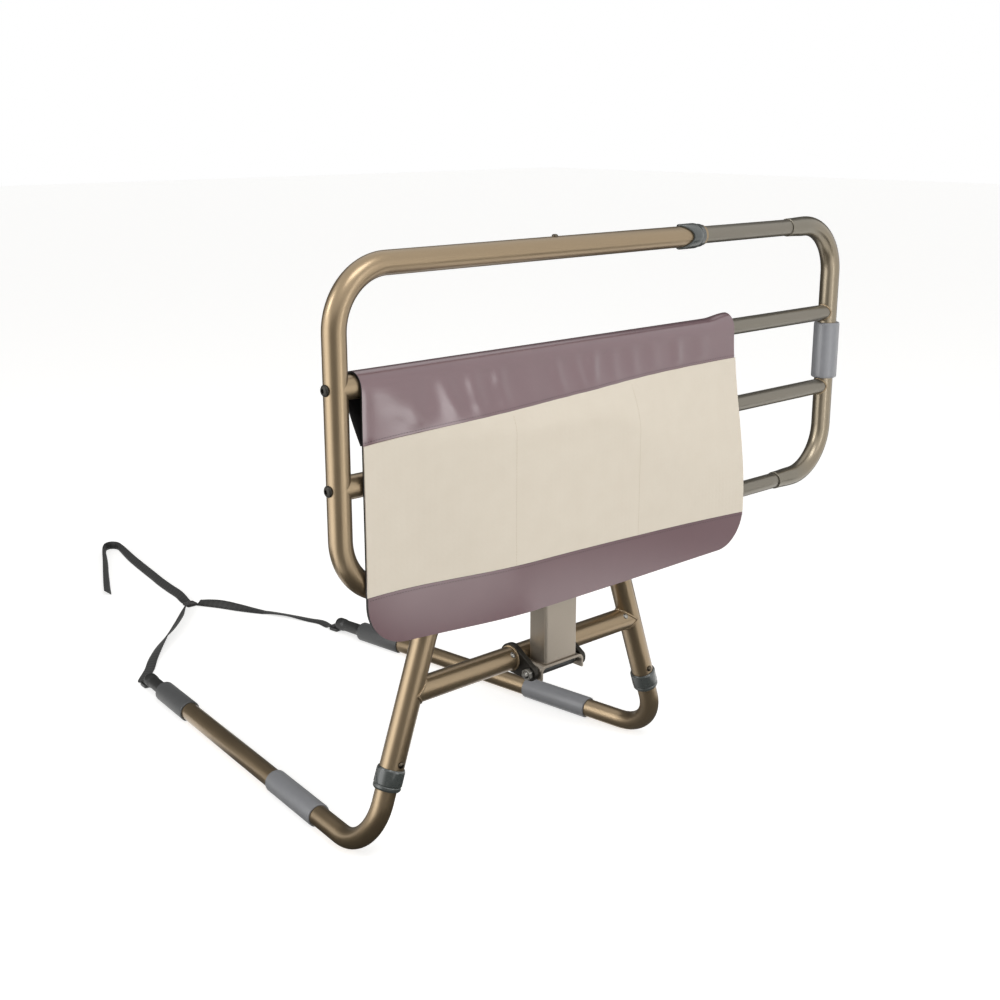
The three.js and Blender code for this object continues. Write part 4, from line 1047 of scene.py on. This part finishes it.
# The lugs are pear-shaped plates: a large eye round the crossbar and a small nose round the bolt.
def makeLugs():
    eye, nose = foot["lugEye"], foot["lugNose"]
    bar, pin = (baseY, base["crossbarZ"]), (foot["pivotY"], foot["pivotZ"])
    lean = asin((eye - nose) / hypot(pin[0] - bar[0], pin[1] - bar[1]))
    heading = atan2(pin[1] - bar[1], pin[0] - bar[0])
    upper, lower = heading + pi / 2 - lean, heading - pi / 2 + lean
    outline = arc(bar, eye, upper, lower + 2 * pi, 40) + arc(pin, nose, lower, upper, 20)
    for side, name in sides:
        low = post["x"] + side * lugInside - (foot["lugThick"] if side < 0 else 0)
        outside = low if side < 0 else low + foot["lugThick"]

        def toLug(a, b, depth):
            return at(low + depth, a, b)

        lug = extruded("lug_plate_" + name, outline, 0, foot["lugThick"], toLug, finish["black"])
        bores = [cutterRod(at(low - 3, *spot), alongX, foot["lugThick"] + 6, radius)
                 for spot, radius in ((bar, tube["base"] + 0.1), (pin, foot["boltRadius"] + 0.3))]
        rounded(cutAway(lug, *bores), 0.6)
        place(lug, "base_frame", "black_steel", "pivot_lug_" + name)
        ring = [at(outside, a, b) for a, b in arc(bar, tube["base"], 0, 2 * pi, 48)[:-1]]
        weld("lug_weld_" + name, ring, "base_frame", "bronze_paint", finish["bronze"], 1.7)


def makePivot():
    nutStart = post["x"] - lugOutside - seatGap

    def toNut(a, b, depth):
        return at(nutStart - depth, foot["pivotY"] + a * 0.94, foot["pivotZ"] + b * 0.94)

    hexagon = arc((0, 0), foot["nutWidth"], pi / 6, 2 * pi + pi / 6, 6)[:-1]
    nut = extruded("pivot_nut_hex", hexagon, 0, foot["nutThick"], toNut, finish["zinc"])
    cutAway(nut, cutterRod(at(nutStart + 2, foot["pivotY"], foot["pivotZ"]), -alongX, 12,
                           foot["boltRadius"] + 0.1))
    place(rounded(nut, 0.7, 3), "base_frame", "zinc_steel", "pivot_nut")

    radius, pitch = foot["boltRadius"], foot["threadPitch"]
    shank = 2 * lugOutside + 2 * seatGap + foot["nutThick"]
    profile = [(0, -4.3), (3.4, -4.2), (5.6, -3.5), (6.8, -2.0), (7.0, 0), (radius, 0)]
    for k in range(foot["threadTurns"]):
        profile += [(radius, shank + k * pitch), (radius - 0.45, shank + (k + 0.5) * pitch)]
    profile += [(radius - 0.4, shank + 3.0), (0, shank + 3.0)]
    head = at(post["x"] + lugOutside + seatGap, foot["pivotY"], foot["pivotZ"])
    bolt = turned("pivot_bolt_turned", profile, head, -alongX, finish["zinc"], 48, 0.15)
    place(bolt, "base_frame", "zinc_steel", "pivot_bolt")

    span = foot["width"] - 2 * foot["bend"]
    start = at(post["x"], foot["pivotY"], foot["pivotZ"]) - alongX * span / 2 * mm
    bush = turned("pivot_bush_sleeve", [(4.45, 0), (5.8, 0), (5.8, span), (4.45, span)], start, alongX,
                  finish["plasticDark"], 40, 0.2)
    place(bush, "fold_foot", "dark_plastic", "pivot_bush")


makePost()
makeBracket()
makeLugs()
makePivot()
print("post and foot made")


# Sliding rail

rail = dict(topZ=661.0, bottomZ=318.0, upperZ=541.0, lowerZ=438.0, endX=837.0, bend=66.0,
            outerEnd=556.7, collarEnd=561.0, collarLength=47.0, collarWall=2.6, noseShort=8.0,
            scallop=14.0, scallopReach=26.0, buttonX=304.0, retract=171.0, innerStart=283.0,
            innerWall=0.9, endWall=0.85, weldFrom=700.0, neckStart=732.6, neckLength=16.0,
            neckRadius=11.75, neckFrom=6.0, neckTo=34.0, paintedReflectionGrey="817b6e", warmFrom=25.0,
            warmShort=8.0, gripAbove=12.0, gripLength=77.0, gripWall=4.6)
midBars = (("upper", rail["upperZ"]), ("lower", rail["lowerZ"]))


def makeOuterRail():
    corners = [at(rail["outerEnd"], 0, rail["topZ"]), at(0, 0, rail["topZ"]), at(0, 0, rail["bottomZ"]),
               at(rail["outerEnd"], 0, rail["bottomZ"])]
    outer = sweptTube("outer_rail_tube", bentPath(corners, rail["bend"]), tube["radius"], tube["wall"],
                      finish["bronze"])
    button = at(rail["buttonX"], 0, rail["topZ"])
    cutAway(outer, buttonBore(button, up))
    place(outer, "left_rail", "bronze_paint", "rail_outer_frame")
    snapButton("rail_snap", button, up, tube["radius"], "rail_button", "extension_button")


def makeMidBar(name, z):
    seat = (at(0, 0, 0), up, tube["radius"])
    bar = sweptTube("mid_tube_" + name, straight(at(0, 0, z), at(rail["outerEnd"], 0, z)),
                    tube["radius"], tube["wall"], finish["bronze"], startSeat=seat)
    place(bar, "left_rail", "bronze_paint", "mid_rail_" + name)

    # The bolt's domed head, with a hexagon socket, shows on the upright's left side.
    headX = -tube["radius"] - seatGap
    head = [(0, -3.0), (2.4, -2.9), (4.6, -2.3), (6.0, -1.1), (6.3, 0), (5.4, 0.6), (3, 0.6), (3, 57),
            (0, 57)]
    bolt = turned("mid_bolt_head_" + name, head, at(headX, 0, z), alongX, finish["black"], 48, 0.2)

    def toSocket(a, b, depth):
        return at(headX - 3.6 + depth, a, z + b)

    hexagon = arc((0, 0), 2.6, 0, 2 * pi, 6)[:-1]
    cutAway(bolt, extruded("cutter", hexagon, 0, 2.4, toSocket, finish["black"]))
    place(bolt, "left_rail", "black_steel", "mid_bolt_" + name)
    flange = [(10.85, -26), (11.4, -26), (11.4, 0.3), (12.7, 0.3), (12.7, 2.2), (12.0, 3.0),
              (10.85, 3.0)]
    bush = turned("mid_bush_ring_" + name, flange, at(rail["outerEnd"], 0, z), alongX, finish["plastic"],
                  56, 0.2)
    place(bush, "left_rail", "dark_plastic", "mid_bush_" + name)


# The collar's rear edge is cut back on its front and back faces, and runs on above and below the tube.
def makeRailCollar(z, name):
    outer, bore, inner = tube["radius"] + rail["collarWall"], tube["radius"] + 0.2, tube["inner"] + 0.25
    nose, shown = outer - 1.3, rail["collarLength"] - rail["noseShort"]
    profile = [(bore, 0), (outer - 0.9, 0), (outer, 1.4), (outer, 27.0), (outer - 0.3, 29.0),
               (nose, 31.5), (nose, shown - 1.8), (nose - 1.2, shown), (inner, shown),
               (inner, shown - 4), (bore, shown - 4)]
    start = at(rail["collarEnd"] - rail["collarLength"], 0, z)
    collar = turned("rail_collar_moulded_" + name, profile, start, alongX, finish["plastic"], 72, 0.5)
    reach = rail["scallopReach"]
    for vertex in collar.data.vertices:
        along = (vertex.co.x - start.x) / mm
        turn = atan2(vertex.co.z - start.z, vertex.co.y - start.y)
        vertex.co.x += rail["scallop"] * abs(cos(turn)) ** 1.6 * max(1 - along / reach, 0) * mm
    place(collar, "left_rail", "dark_plastic", "rail_collar_" + name)


# Painted reflection: the end tube's colour runs from the inner tubes' grey at the necks to its champagne
# base through the bends, in place of the greyer reflection along its level runs.
def paintedReflectionAlongX(material, paintedReflectionGrey, start, end):
    tree = material.node_tree
    colour = shaderOf(tree).inputs["Base Color"]
    spot = addNode(tree, "ShaderNodeTexCoord").outputs["Object"]
    split = addNode(tree, "ShaderNodeSeparateXYZ", {0: spot})
    share = addNode(tree, "ShaderNodeMapRange", {0: split.outputs[0], 1: start, 2: end},
                    interpolation_type="SMOOTHSTEP")
    mix = addNode(tree, "ShaderNodeMix", {0: share.outputs[0], 6: toLinear(paintedReflectionGrey),
                                          7: colour.links[0].from_socket}, data_type="RGBA")
    tree.links.new(mix.outputs[2], colour)


def makeEndFrame():
    neck = rail["neckStart"]
    corners = [at(neck, 0, rail["topZ"]), at(rail["endX"], 0, rail["topZ"]),
               at(rail["endX"], 0, rail["bottomZ"]), at(neck, 0, rail["bottomZ"])]
    stations = bentPath(corners, rail["bend"])
    above = [(at(neck + d, 0, rail["topZ"]), alongX) for d in range(4, 35, 5)]
    below = [(at(neck + d, 0, rail["bottomZ"]), -alongX) for d in range(34, 3, -5)]
    stations = stations[:2] + above + stations[2:-2] + below + stations[-2:]
    radii = [mixed(rail["neckRadius"], tube["radius"],
                   smoothStep((point.x - origin.x) / mm - neck, rail["neckFrom"], rail["neckTo"]))
             for point, _ in stations]
    end = sweptTube("end_rail_tube", stations, tube["radius"], rail["endWall"], finish["champagne"],
                    radii=radii)
    place(end, "right_rail", "bronze_paint", "end_frame")
    # Painted reflection along the end tube: grey at the necks, warming to the base colour through the
    # bends.
    paintedReflectionAlongX(finish["champagne"], rail["paintedReflectionGrey"], at(neck + rail["warmFrom"], 0, 0).x,
               at(rail["endX"] - rail["warmShort"], 0, 0).x)


# The level bars stop in the necks. The middle bars are coped and welded to the end tube's upright.
def makeInnerBars():
    seat = (at(rail["endX"], 0, 0), up, tube["radius"])
    level = (("top", rail["topZ"]), ("bottom", rail["bottomZ"]))
    for name, z in level + midBars:
        coped = name in dict(midBars)
        endX = rail["endX"] if coped else rail["neckStart"] + rail["neckLength"]
        bar = sweptTube("inner_tube_" + name, straight(at(rail["innerStart"], 0, z), at(endX, 0, z)),
                        tube["inner"], rail["innerWall"], finish["grey"],
                        endSeat=seat if coped else None)
        if name == "top":
            cutAway(bar, *[buttonBore(at(x, 0, z), up)
                           for x in (rail["buttonX"], rail["buttonX"] + rail["retract"])])
        place(bar, "right_rail", "grey_tube_paint", "inner_bar_" + name)
        if coped:
            line = saddle(at(rail["weldFrom"], 0, z), alongX, tube["inner"], seat)
            weld("end_weld_" + name, line, "right_rail", "bronze_paint", finish["bronze"], 1.3)


def makeGrip():
    bore, outer, length = tube["radius"] + 0.15, tube["radius"] + rail["gripWall"], rail["gripLength"]
    profile = [(bore, 0), (outer - 1.6, 0), (outer - 0.3, 1.0), (outer, 3.0), (outer, length - 3.0),
               (outer - 0.3, length - 1.0), (outer - 1.6, length), (bore, length)]
    grip = turned("grip_foam", profile, at(rail["endX"], 0, rail["lowerZ"] + rail["gripAbove"]), up,
                  finish["grip"], 64, 0.6)
    place(grip, "right_rail", "grey_foam", "grip_sleeve")


makeOuterRail()
for name, z in midBars:
    makeMidBar(name, z)
makeRailCollar(rail["topZ"], "top")
makeRailCollar(rail["bottomZ"], "bottom")
makeEndFrame()
makeInnerBars()
makeGrip()
print("rail made")


# Pouch

pouch = dict(left=20.0, right=611.0, bottom=263.0, corner=48.0, sheet=2.0, panel=1.5, bandLeft=482.0,
             bandRight=505.0, hemLeft=321.0, hemRight=305.7, hemBow=4.0, edgeLift=4.0, liftFrom=570.0,
             loopRoom=1.2, loopBulge=1.6, postRoom=0.7, postShare=0.37, turnShare=0.52, leanShare=0.9,
             dropShare=0.26, slackShare=0.78, columns=180, seams=(0.315, 0.652), behind=95.0)
clothRows = dict(rear=10, loop=26, band=18, pocket=50, hem=22)
stitch = dict(count=240, seamCount=60, bandPitch=3.4, bandThread=0.3, seamPitch=3.6, seamThread=0.28,
              inset=3.0)
# Soft folds in the plain top band: place along the pouch, half width, height, lean per mm of drop.
folds = [(24, 5, 0.8, 0.05), (56, 30, 3.2, 0.75), (90, 13, 0.9, -0.1), (126, 14.5, 2.4, 0.3),
         (165, 11, 2.3, 0.08), (204, 9.5, 2.45, -0.06), (244, 14, 0.7, 0.0), (290, 8, 1.9, 0.0),
         (322, 7, 1.4, 0.05), (352, 9, 3.0, -0.3), (384, 9, 1.2, -0.1), (417, 10, 1.5, 0.0),
         (455, 12, 1.2, 0.0), (499, 9, 1.9, 0.0), (545, 13, 1.2, 0.0)]
# Dents over the empty pockets: place as a share of the width, half width, height in mm, lean.
dents = [(0.10, 0.07, -1.3, 0.0), (0.20, 0.05, 0.8, 0.08), (0.86, 0.09, -0.8, -0.05)]
slack = dict(middle=0.62, reach=0.2, wave=0.3, waveAcross=9.0, waveDown=3.0)
pouchWidth = pouch["right"] - pouch["left"]
pouchDrop = rail["upperZ"] - pouch["bottom"]
loopRadius = tube["radius"] + pouch["loopRoom"] + pouch["sheet"] / 2
fullDepth = tube["radius"] + seatGap + post["depth"] + pouch["postRoom"] + pouch["sheet"] / 2


# The seams' heights across the pouch: the band's climbs to the right, and the hem's falls.
def bandSeam(across):
    return mixed(pouch["bandRight"], pouch["bandLeft"], (1 - across) ** 2)


def hemSeam(across):
    return mixed(pouch["hemLeft"], pouch["hemRight"], across ** 1.5) + pouch["hemBow"] * sin(pi * across)


def bell(x, centre, width):
    return exp(-((x - centre) / width) ** 2)


# The folds start on the loop and die out at the band's seam.
def foldHeight(x, z):
    drop = rail["upperZ"] - z
    across = min(max((x - pouch["left"]) / pouchWidth, 0), 1)
    overSeam = z - bandSeam(across)
    total = 0.0
    for centre, width, height, lean in folds:
        fade = smoothStep(overSeam, -2, 2 + 4 * height + 0.5 * width)
        total += height * fade * bell(x, centre + lean * drop, width)
    return total * smoothStep(drop, -8, 12)


# Long shallow dents where the empty pockets fall in, and a slow wave along them.
def slackHeight(across, down):
    total = slack["wave"] * sin(slack["waveAcross"] * across + slack["waveDown"] * down)
    for middle, width, height, lean in dents:
        total += height * bell(across, middle + lean * down, width)
    return total * bell(down, slack["middle"], slack["reach"])


# How far the cloth hangs in front of the rail's plane. It clears the post and eases back beside it.
def hangDepth(x, z):
    across = (x - pouch["left"]) / pouchWidth
    down = (rail["upperZ"] - z) / pouchDrop
    free = smoothStep(across, pouch["turnShare"], 1)
    reach = smoothStep(across, 0, pouch["postShare"]) * mixed(1, pouch["leanShare"], free)
    drop = smoothStep(down, 0, mixed(pouch["dropShare"], pouch["slackShare"], free))
    return (loopRadius + (fullDepth - loopRadius) * reach * drop + foldHeight(x, z)
            + slackHeight(across, down))


# The pouch's width narrows round its lower corners.
def spotX(across, z):
    into = max(0.0, pouch["corner"] - (z - pouch["bottom"]))
    inset = pouch["corner"] - sqrt(max(pouch["corner"] ** 2 - into ** 2, 0.0))
    return pouch["left"] + inset + across * (pouchWidth - 2 * inset)


# A (depth, z, normal) station of the hanging cloth.
def hangingAt(across, z):
    x = spotX(across, z)
    slope = hangDepth(x, z - 1) - hangDepth(x, z + 1)
    return hangDepth(x, z), z, Vector((1, slope / 2)).normalized()


def hanging(across, heights):
    return [hangingAt(across, z) for z in heights]


# Stations from the seam behind the bar, up and over the bar to its front.
def looped(across):
    x = spotX(across, rail["upperZ"])
    seamZ = bandSeam(across)
    seam = Vector((hangDepth(x, seamZ) - pouch["sheet"] - 0.4, seamZ))
    toSeam = Vector((seam.x, seam.y - rail["upperZ"]))
    leave = atan2(toSeam.y, toSeam.x) - acos(loopRadius / toSeam.length) + 2 * pi

    def onLoop(angle):
        way = Vector((cos(angle), sin(angle)))
        raised = pouch["edgeLift"] * smoothStep(x, pouch["liftFrom"], pouch["right"]) * max(way.y, 0)
        return loopRadius * way.x, rail["upperZ"] + loopRadius * way.y + raised, way

    rear = onLoop(leave)
    stations = []
    for t in [k / clothRows["rear"] for k in range(clothRows["rear"])]:
        bulge = pouch["loopBulge"] * sin(pi * t)
        spot = seam.lerp(Vector((rear[0], rear[1])), t) + rear[2] * bulge
        stations.append((spot.x, spot.y, rear[2]))
    return stations + [onLoop(leave * (1 - k / clothRows["loop"])) for k in range(clothRows["loop"])]


def spread(low, high, count):
    return [mixed(high, low, k / count) for k in range(count + 1)]


def pocketHeights(across):
    return spread(hemSeam(across), bandSeam(across), clothRows["pocket"])


# The hem's rows stand closer together towards its rounded lower edge.
def hemHeights(across):
    return [mixed(hemSeam(across), pouch["bottom"], sin(k / clothRows["hem"] * pi / 2))
            for k in range(1, clothRows["hem"] + 1)]


def backingStations(across):
    heights = spread(bandSeam(across), rail["upperZ"], clothRows["band"])
    heights += pocketHeights(across)[1:] + hemHeights(across)
    return looped(across) + hanging(across, heights)


def pocketStations(across):
    return hanging(across, pocketHeights(across))


def hemStations(across):
    return hanging(across, [hemSeam(across) - seatGap] + hemHeights(across))


# A closed cloth sheet from a column of stations at each place along the pouch. Its outer side has the
# first material, its inner side and its edges the second.
def clothSheet(name, stationsAt, inner, outer, materials):
    columns = pouch["columns"]
    vertices, spots = [], []
    for i in range(columns + 1):
        stations = stationsAt(i / columns)
        run = 0.0
        for j, (depth, z, normal) in enumerate(stations):
            if j:
                run += hypot(depth - stations[j - 1][0], z - stations[j - 1][1])
            x = spotX(i / columns, z)
            for distance in (inner, outer):
                vertices.append(at(x, -depth - normal.x * distance, z + normal.y * distance))
                spots.append((x * mm, run * mm))
    last = len(stations) - 1

    def corner(i, j, layer):
        return (i * (last + 1) + j) * 2 + layer

    faces = []
    for i in range(columns):
        for j in range(last):
            around = (i, j), (i, j + 1), (i + 1, j + 1), (i + 1, j)
            faces.append([corner(*spot, 1) for spot in around])
            faces.append([corner(*spot, 0) for spot in (around[0], *around[:0:-1])])
        faces.append([corner(i, 0, 0), corner(i, 0, 1), corner(i + 1, 0, 1), corner(i + 1, 0, 0)])
        faces.append([corner(i, last, 1), corner(i, last, 0), corner(i + 1, last, 0),
                      corner(i + 1, last, 1)])
    for j in range(last):
        faces.append([corner(0, j, 0), corner(0, j + 1, 0), corner(0, j + 1, 1), corner(0, j, 1)])
        faces.append([corner(columns, j, 1), corner(columns, j + 1, 1), corner(columns, j + 1, 0),
                      corner(columns, j, 0)])
    piece = linkMesh(name, vertices, faces, materials)
    inside = [int(not all(vertex % 2 for vertex in face)) for face in faces]
    piece.data.polygons.foreach_set("material_index", inside)
    outwards(piece, creases["cloth"])
    addMap(piece, "clothMap", spots)
    return piece


def clothSpot(across, z, proud):
    depth, z, normal = hangingAt(across, z)
    return at(spotX(across, z), -depth - normal.x * proud, z + normal.y * proud)


def makePouch():
    half = pouch["sheet"] / 2
    panelIn = half + seatGap
    panelOut = panelIn + pouch["panel"]
    backing = clothSheet("pouch_backing_vinyl", backingStations, -half, half,
                         [finish["vinyl"], finish["lining"]])
    pocket = clothSheet("pouch_pocket_canvas", pocketStations, panelIn, panelOut,
                        [finish["canvas"], finish["canvas"]])
    hem = clothSheet("pouch_hem_vinyl", hemStations, panelIn, panelOut,
                     [finish["vinyl"], finish["lining"]])
    place(backing, "left_rail", "maroon_cloth", "pouch_backing")
    place(pocket, "left_rail", "cream_cloth", "pouch_pocket")
    place(hem, "left_rail", "maroon_cloth", "pouch_hem")

    across = [k / stitch["count"] for k in range(stitch["count"] + 1)]
    bandLine = [clothSpot(t, bandSeam(t) + stitch["inset"], half + 0.1) for t in across]
    hemLine = [clothSpot(t, hemSeam(t) - stitch["inset"] - 0.5, panelOut + 0.1) for t in across]
    for name, line in (("stitch_band", bandLine), ("stitch_hem", hemLine)):
        stitchRow(name, line, "left_rail", "maroon_cloth", finish["threadDark"], stitch["bandPitch"],
                  stitch["bandThread"])
    for number, share in enumerate(pouch["seams"], 1):
        heights = spread(hemSeam(share) + 2, bandSeam(share) - 6, stitch["seamCount"])
        line = [clothSpot(share, z, panelOut + 0.05) for z in heights]
        stitchRow("stitch_pocket_" + str(number), line, "left_rail", "cream_cloth",
                  finish["threadCream"], stitch["seamPitch"], stitch["seamThread"])


makePouch()
print("pouch made")


# Studio

studio = dict(floorSize=30.0, floorDrop=0.4, floorTone="d9d8d5", floorGlow=0.62, smoothest=0.86,
              roughest=0.94, fibre=16.67, worldFill=0.42, cardSides=48, cardFade=5.0, fadeIn=0.4,
              fadeOut=0.8, fadeUp=0.7)
# Soft boxes: place, target, size and power in watts.
lamps = [
    ("softboxLeft", (-1980, 1000, 1250), (300, 0, 300), (700, 1900), 26),
    ("softboxRight", (720, -2680, 1350), (400, 0, 300), (600, 1900), 34),
    ("softboxTop", (-100, -1300, 2700), (350, 100, 300), (1500, 900), 20),
]
# Glowing sheets that only reflections see, in place of a studio's felt flags and white cards: they paint
# dark bands and bright streaks as reflections on the paint, vinyl and plastic. They lie and stand near
# the rail on arcs: centre, from angle, to angle, inner radius, outer radius, height, tone. Angles turn
# from the camera's side.
flags = [
    ("cardLeft", (0, 100), -86, -38, 260, 1000, 1100, 2.4),
    ("flagFront", (0, 0), -34, 32, 220, 950, 1000, 0.25),
    ("cardRight", (330, 120), 45, 60, 0, 1500, 1300, 3.4),
    ("flagBack", (330, 120), 126, 262, 420, 1500, 2000, 0.06),
    ("flagUnder", (330, 120), -180, 180, 20, 420, 0, 0.1),
    ("flagHem", (330, 120), 61, 104, 820, 1800, 0, 0.12),
    ("flagPost", (255, -30), -116, -70, 380, 1150, 0, 0.06),
    ("flagRight", (437, 0), -70, 64, 60, 760, 0, 0.02),
]


# 1 for the rays that see the background: the camera's, and those of glossy and clear surfaces.
def backgroundSight(tree):
    seen = addNode(tree, "ShaderNodeLightPath").outputs
    either = addNode(tree, "ShaderNodeMath", {0: seen["Is Camera Ray"], 1: seen["Is Glossy Ray"]},
                     operation="MAXIMUM")
    return addNode(tree, "ShaderNodeMath", {0: either.outputs[0], 1: seen["Is Transmission Ray"]},
                   operation="MAXIMUM").outputs[0]


# Matt white paper, rolled out: a faint fibre, and a glow that only the background's rays see.
def makeFloor():
    size, low = studio["floorSize"] / 2, -studio["floorDrop"] * mm
    material, tree, spot = newMaterial("studio_floor_paper", studio["floorTone"],
                                       Emission_Color=(1, 1, 1, 1))
    fibre = addNode(tree, "ShaderNodeTexNoise",
                    {"Vector": spot, "Scale": perMetre(studio["fibre"]), "Detail": 2.0})
    varyRoughness(tree, fibre.outputs["Fac"], studio["smoothest"], studio["roughest"])
    glow = addNode(tree, "ShaderNodeMath", {0: backgroundSight(tree), 1: studio["floorGlow"]},
                   operation="MULTIPLY")
    tree.links.new(glow.outputs[0], shaderOf(tree).inputs["Emission Strength"])
    corners = [(x * size, y * size, low) for x, y in ((-1, -1), (1, -1), (1, 1), (-1, 1))]
    linkMesh("studio_floor", corners, [(0, 1, 2, 3)], material, False)


# A card's glow, fading out towards its sides, so that reflections have soft edges.
def makeFlagMaterial(name, tone):
    material = bpy.data.materials.new(name + "_sheet")
    material.use_nodes = True
    tree = material.node_tree
    tree.nodes.clear()
    ownMap = addNode(tree, "ShaderNodeUVMap", uv_map="cardMap")
    parts = addNode(tree, "ShaderNodeSeparateXYZ", {0: ownMap.outputs["UV"]})
    fades = [addNode(tree, "ShaderNodeMapRange", {0: part}, interpolation_type="SMOOTHSTEP").outputs[0]
             for part in parts.outputs[:2]]
    shown = addNode(tree, "ShaderNodeMath", {0: fades[0], 1: fades[1]}, operation="MULTIPLY")
    glow = addNode(tree, "ShaderNodeEmission", {"Color": (1, 1, 1, 1), "Strength": tone})
    clear = addNode(tree, "ShaderNodeBsdfTransparent")
    mix = addNode(tree, "ShaderNodeMixShader",
                  {0: shown.outputs[0], 1: clear.outputs[0], 2: glow.outputs[0]})
    addNode(tree, "ShaderNodeOutputMaterial", {"Surface": mix.outputs[0]})
    return material


# Rows across a card are (radius, height, glow). It lies from its inner to its outer radius, and one
# with a height turns up there.
def makeFlag(name, centre, start, end, inner, outer, height, tone, lift):
    toCamera = radians(-90 - camera["yaw"])
    count, fullTurn = studio["cardSides"], end - start >= 360
    rows = []
    if inner:
        rows += [(inner, lift, 0.0), (mixed(inner, outer, studio["fadeIn"]), lift, 1.0)]
    if height:
        rows += [(outer, lift, 1.0), (outer, height * studio["fadeUp"], 1.0), (outer, height, 0.0)]
    else:
        rows += [(mixed(inner, outer, studio["fadeOut"]), lift, 1.0), (outer, lift, 0.0)]
    vertices, fades = [], []
    for k in range(count + 1):
        turn = toCamera + radians(mixed(start, end, k / count))
        fromEdge = min(k, count - k) / count * (end - start)
        shown = 1 if fullTurn else min(fromEdge / studio["cardFade"], 1)
        for radius, z, glow in rows:
            vertices.append(at(centre[0] + radius * cos(turn), centre[1] + radius * sin(turn), z))
            fades.append((shown, glow))
    flag = linkMesh(name, vertices, gridFaces(count + 1, len(rows), False, False),
                    makeFlagMaterial(name, tone), False)
    addMap(flag, "cardMap", fades)
    for ray in ("camera", "diffuse", "transmission", "volume_scatter", "shadow"):
        setattr(flag, "visible_" + ray, False)


def makeWorld():
    world = bpy.data.worlds.new("studio_world")
    bpy.context.scene.world = world
    world.use_nodes = True
    tree = world.node_tree
    tree.nodes.clear()
    strength = addNode(tree, "ShaderNodeMapRange",
                       {0: backgroundSight(tree), 3: studio["worldFill"], 4: 1.0})
    light = addNode(tree, "ShaderNodeBackground",
                    {"Color": (1, 1, 1, 1), "Strength": strength.outputs[0]})
    addNode(tree, "ShaderNodeOutputWorld", {"Surface": light.outputs[0]})


# The lamps light the cloth and paint. The one at the right is kept out of reflections.
def makeLamps():
    for name, spot, target, size, power in lamps:
        data = bpy.data.lights.new(name, "AREA")
        data.shape = "RECTANGLE"
        data.size = size[0] * mm
        data.size_y = size[1] * mm
        data.energy = power
        lamp = bpy.data.objects.new(name, data)
        lamp.location = at(*spot)
        lamp.visible_glossy = name != "softboxRight"
        lamp.rotation_euler = (at(*target) - at(*spot)).to_track_quat("-Z", "Y").to_euler()
        bpy.context.collection.objects.link(lamp)


for order, flag in enumerate(flags, 1):
    makeFlag(*flag, lift=order)
makeFloor()
makeWorld()
makeLamps()
bpy.context.scene.view_settings.view_transform = "Standard"

# The few inner pieces that stay as solids get the finish of their kind.
for nodeName in ("mid_plug_upper", "mid_plug_lower", "glide_top", "glide_bottom", "glide_upper",
                 "glide_lower"):
    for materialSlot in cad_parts[nodeName].material_slots:
        materialSlot.link = "OBJECT"
        materialSlot.material = finish["plasticDark"]

print("studio lit, finishing")
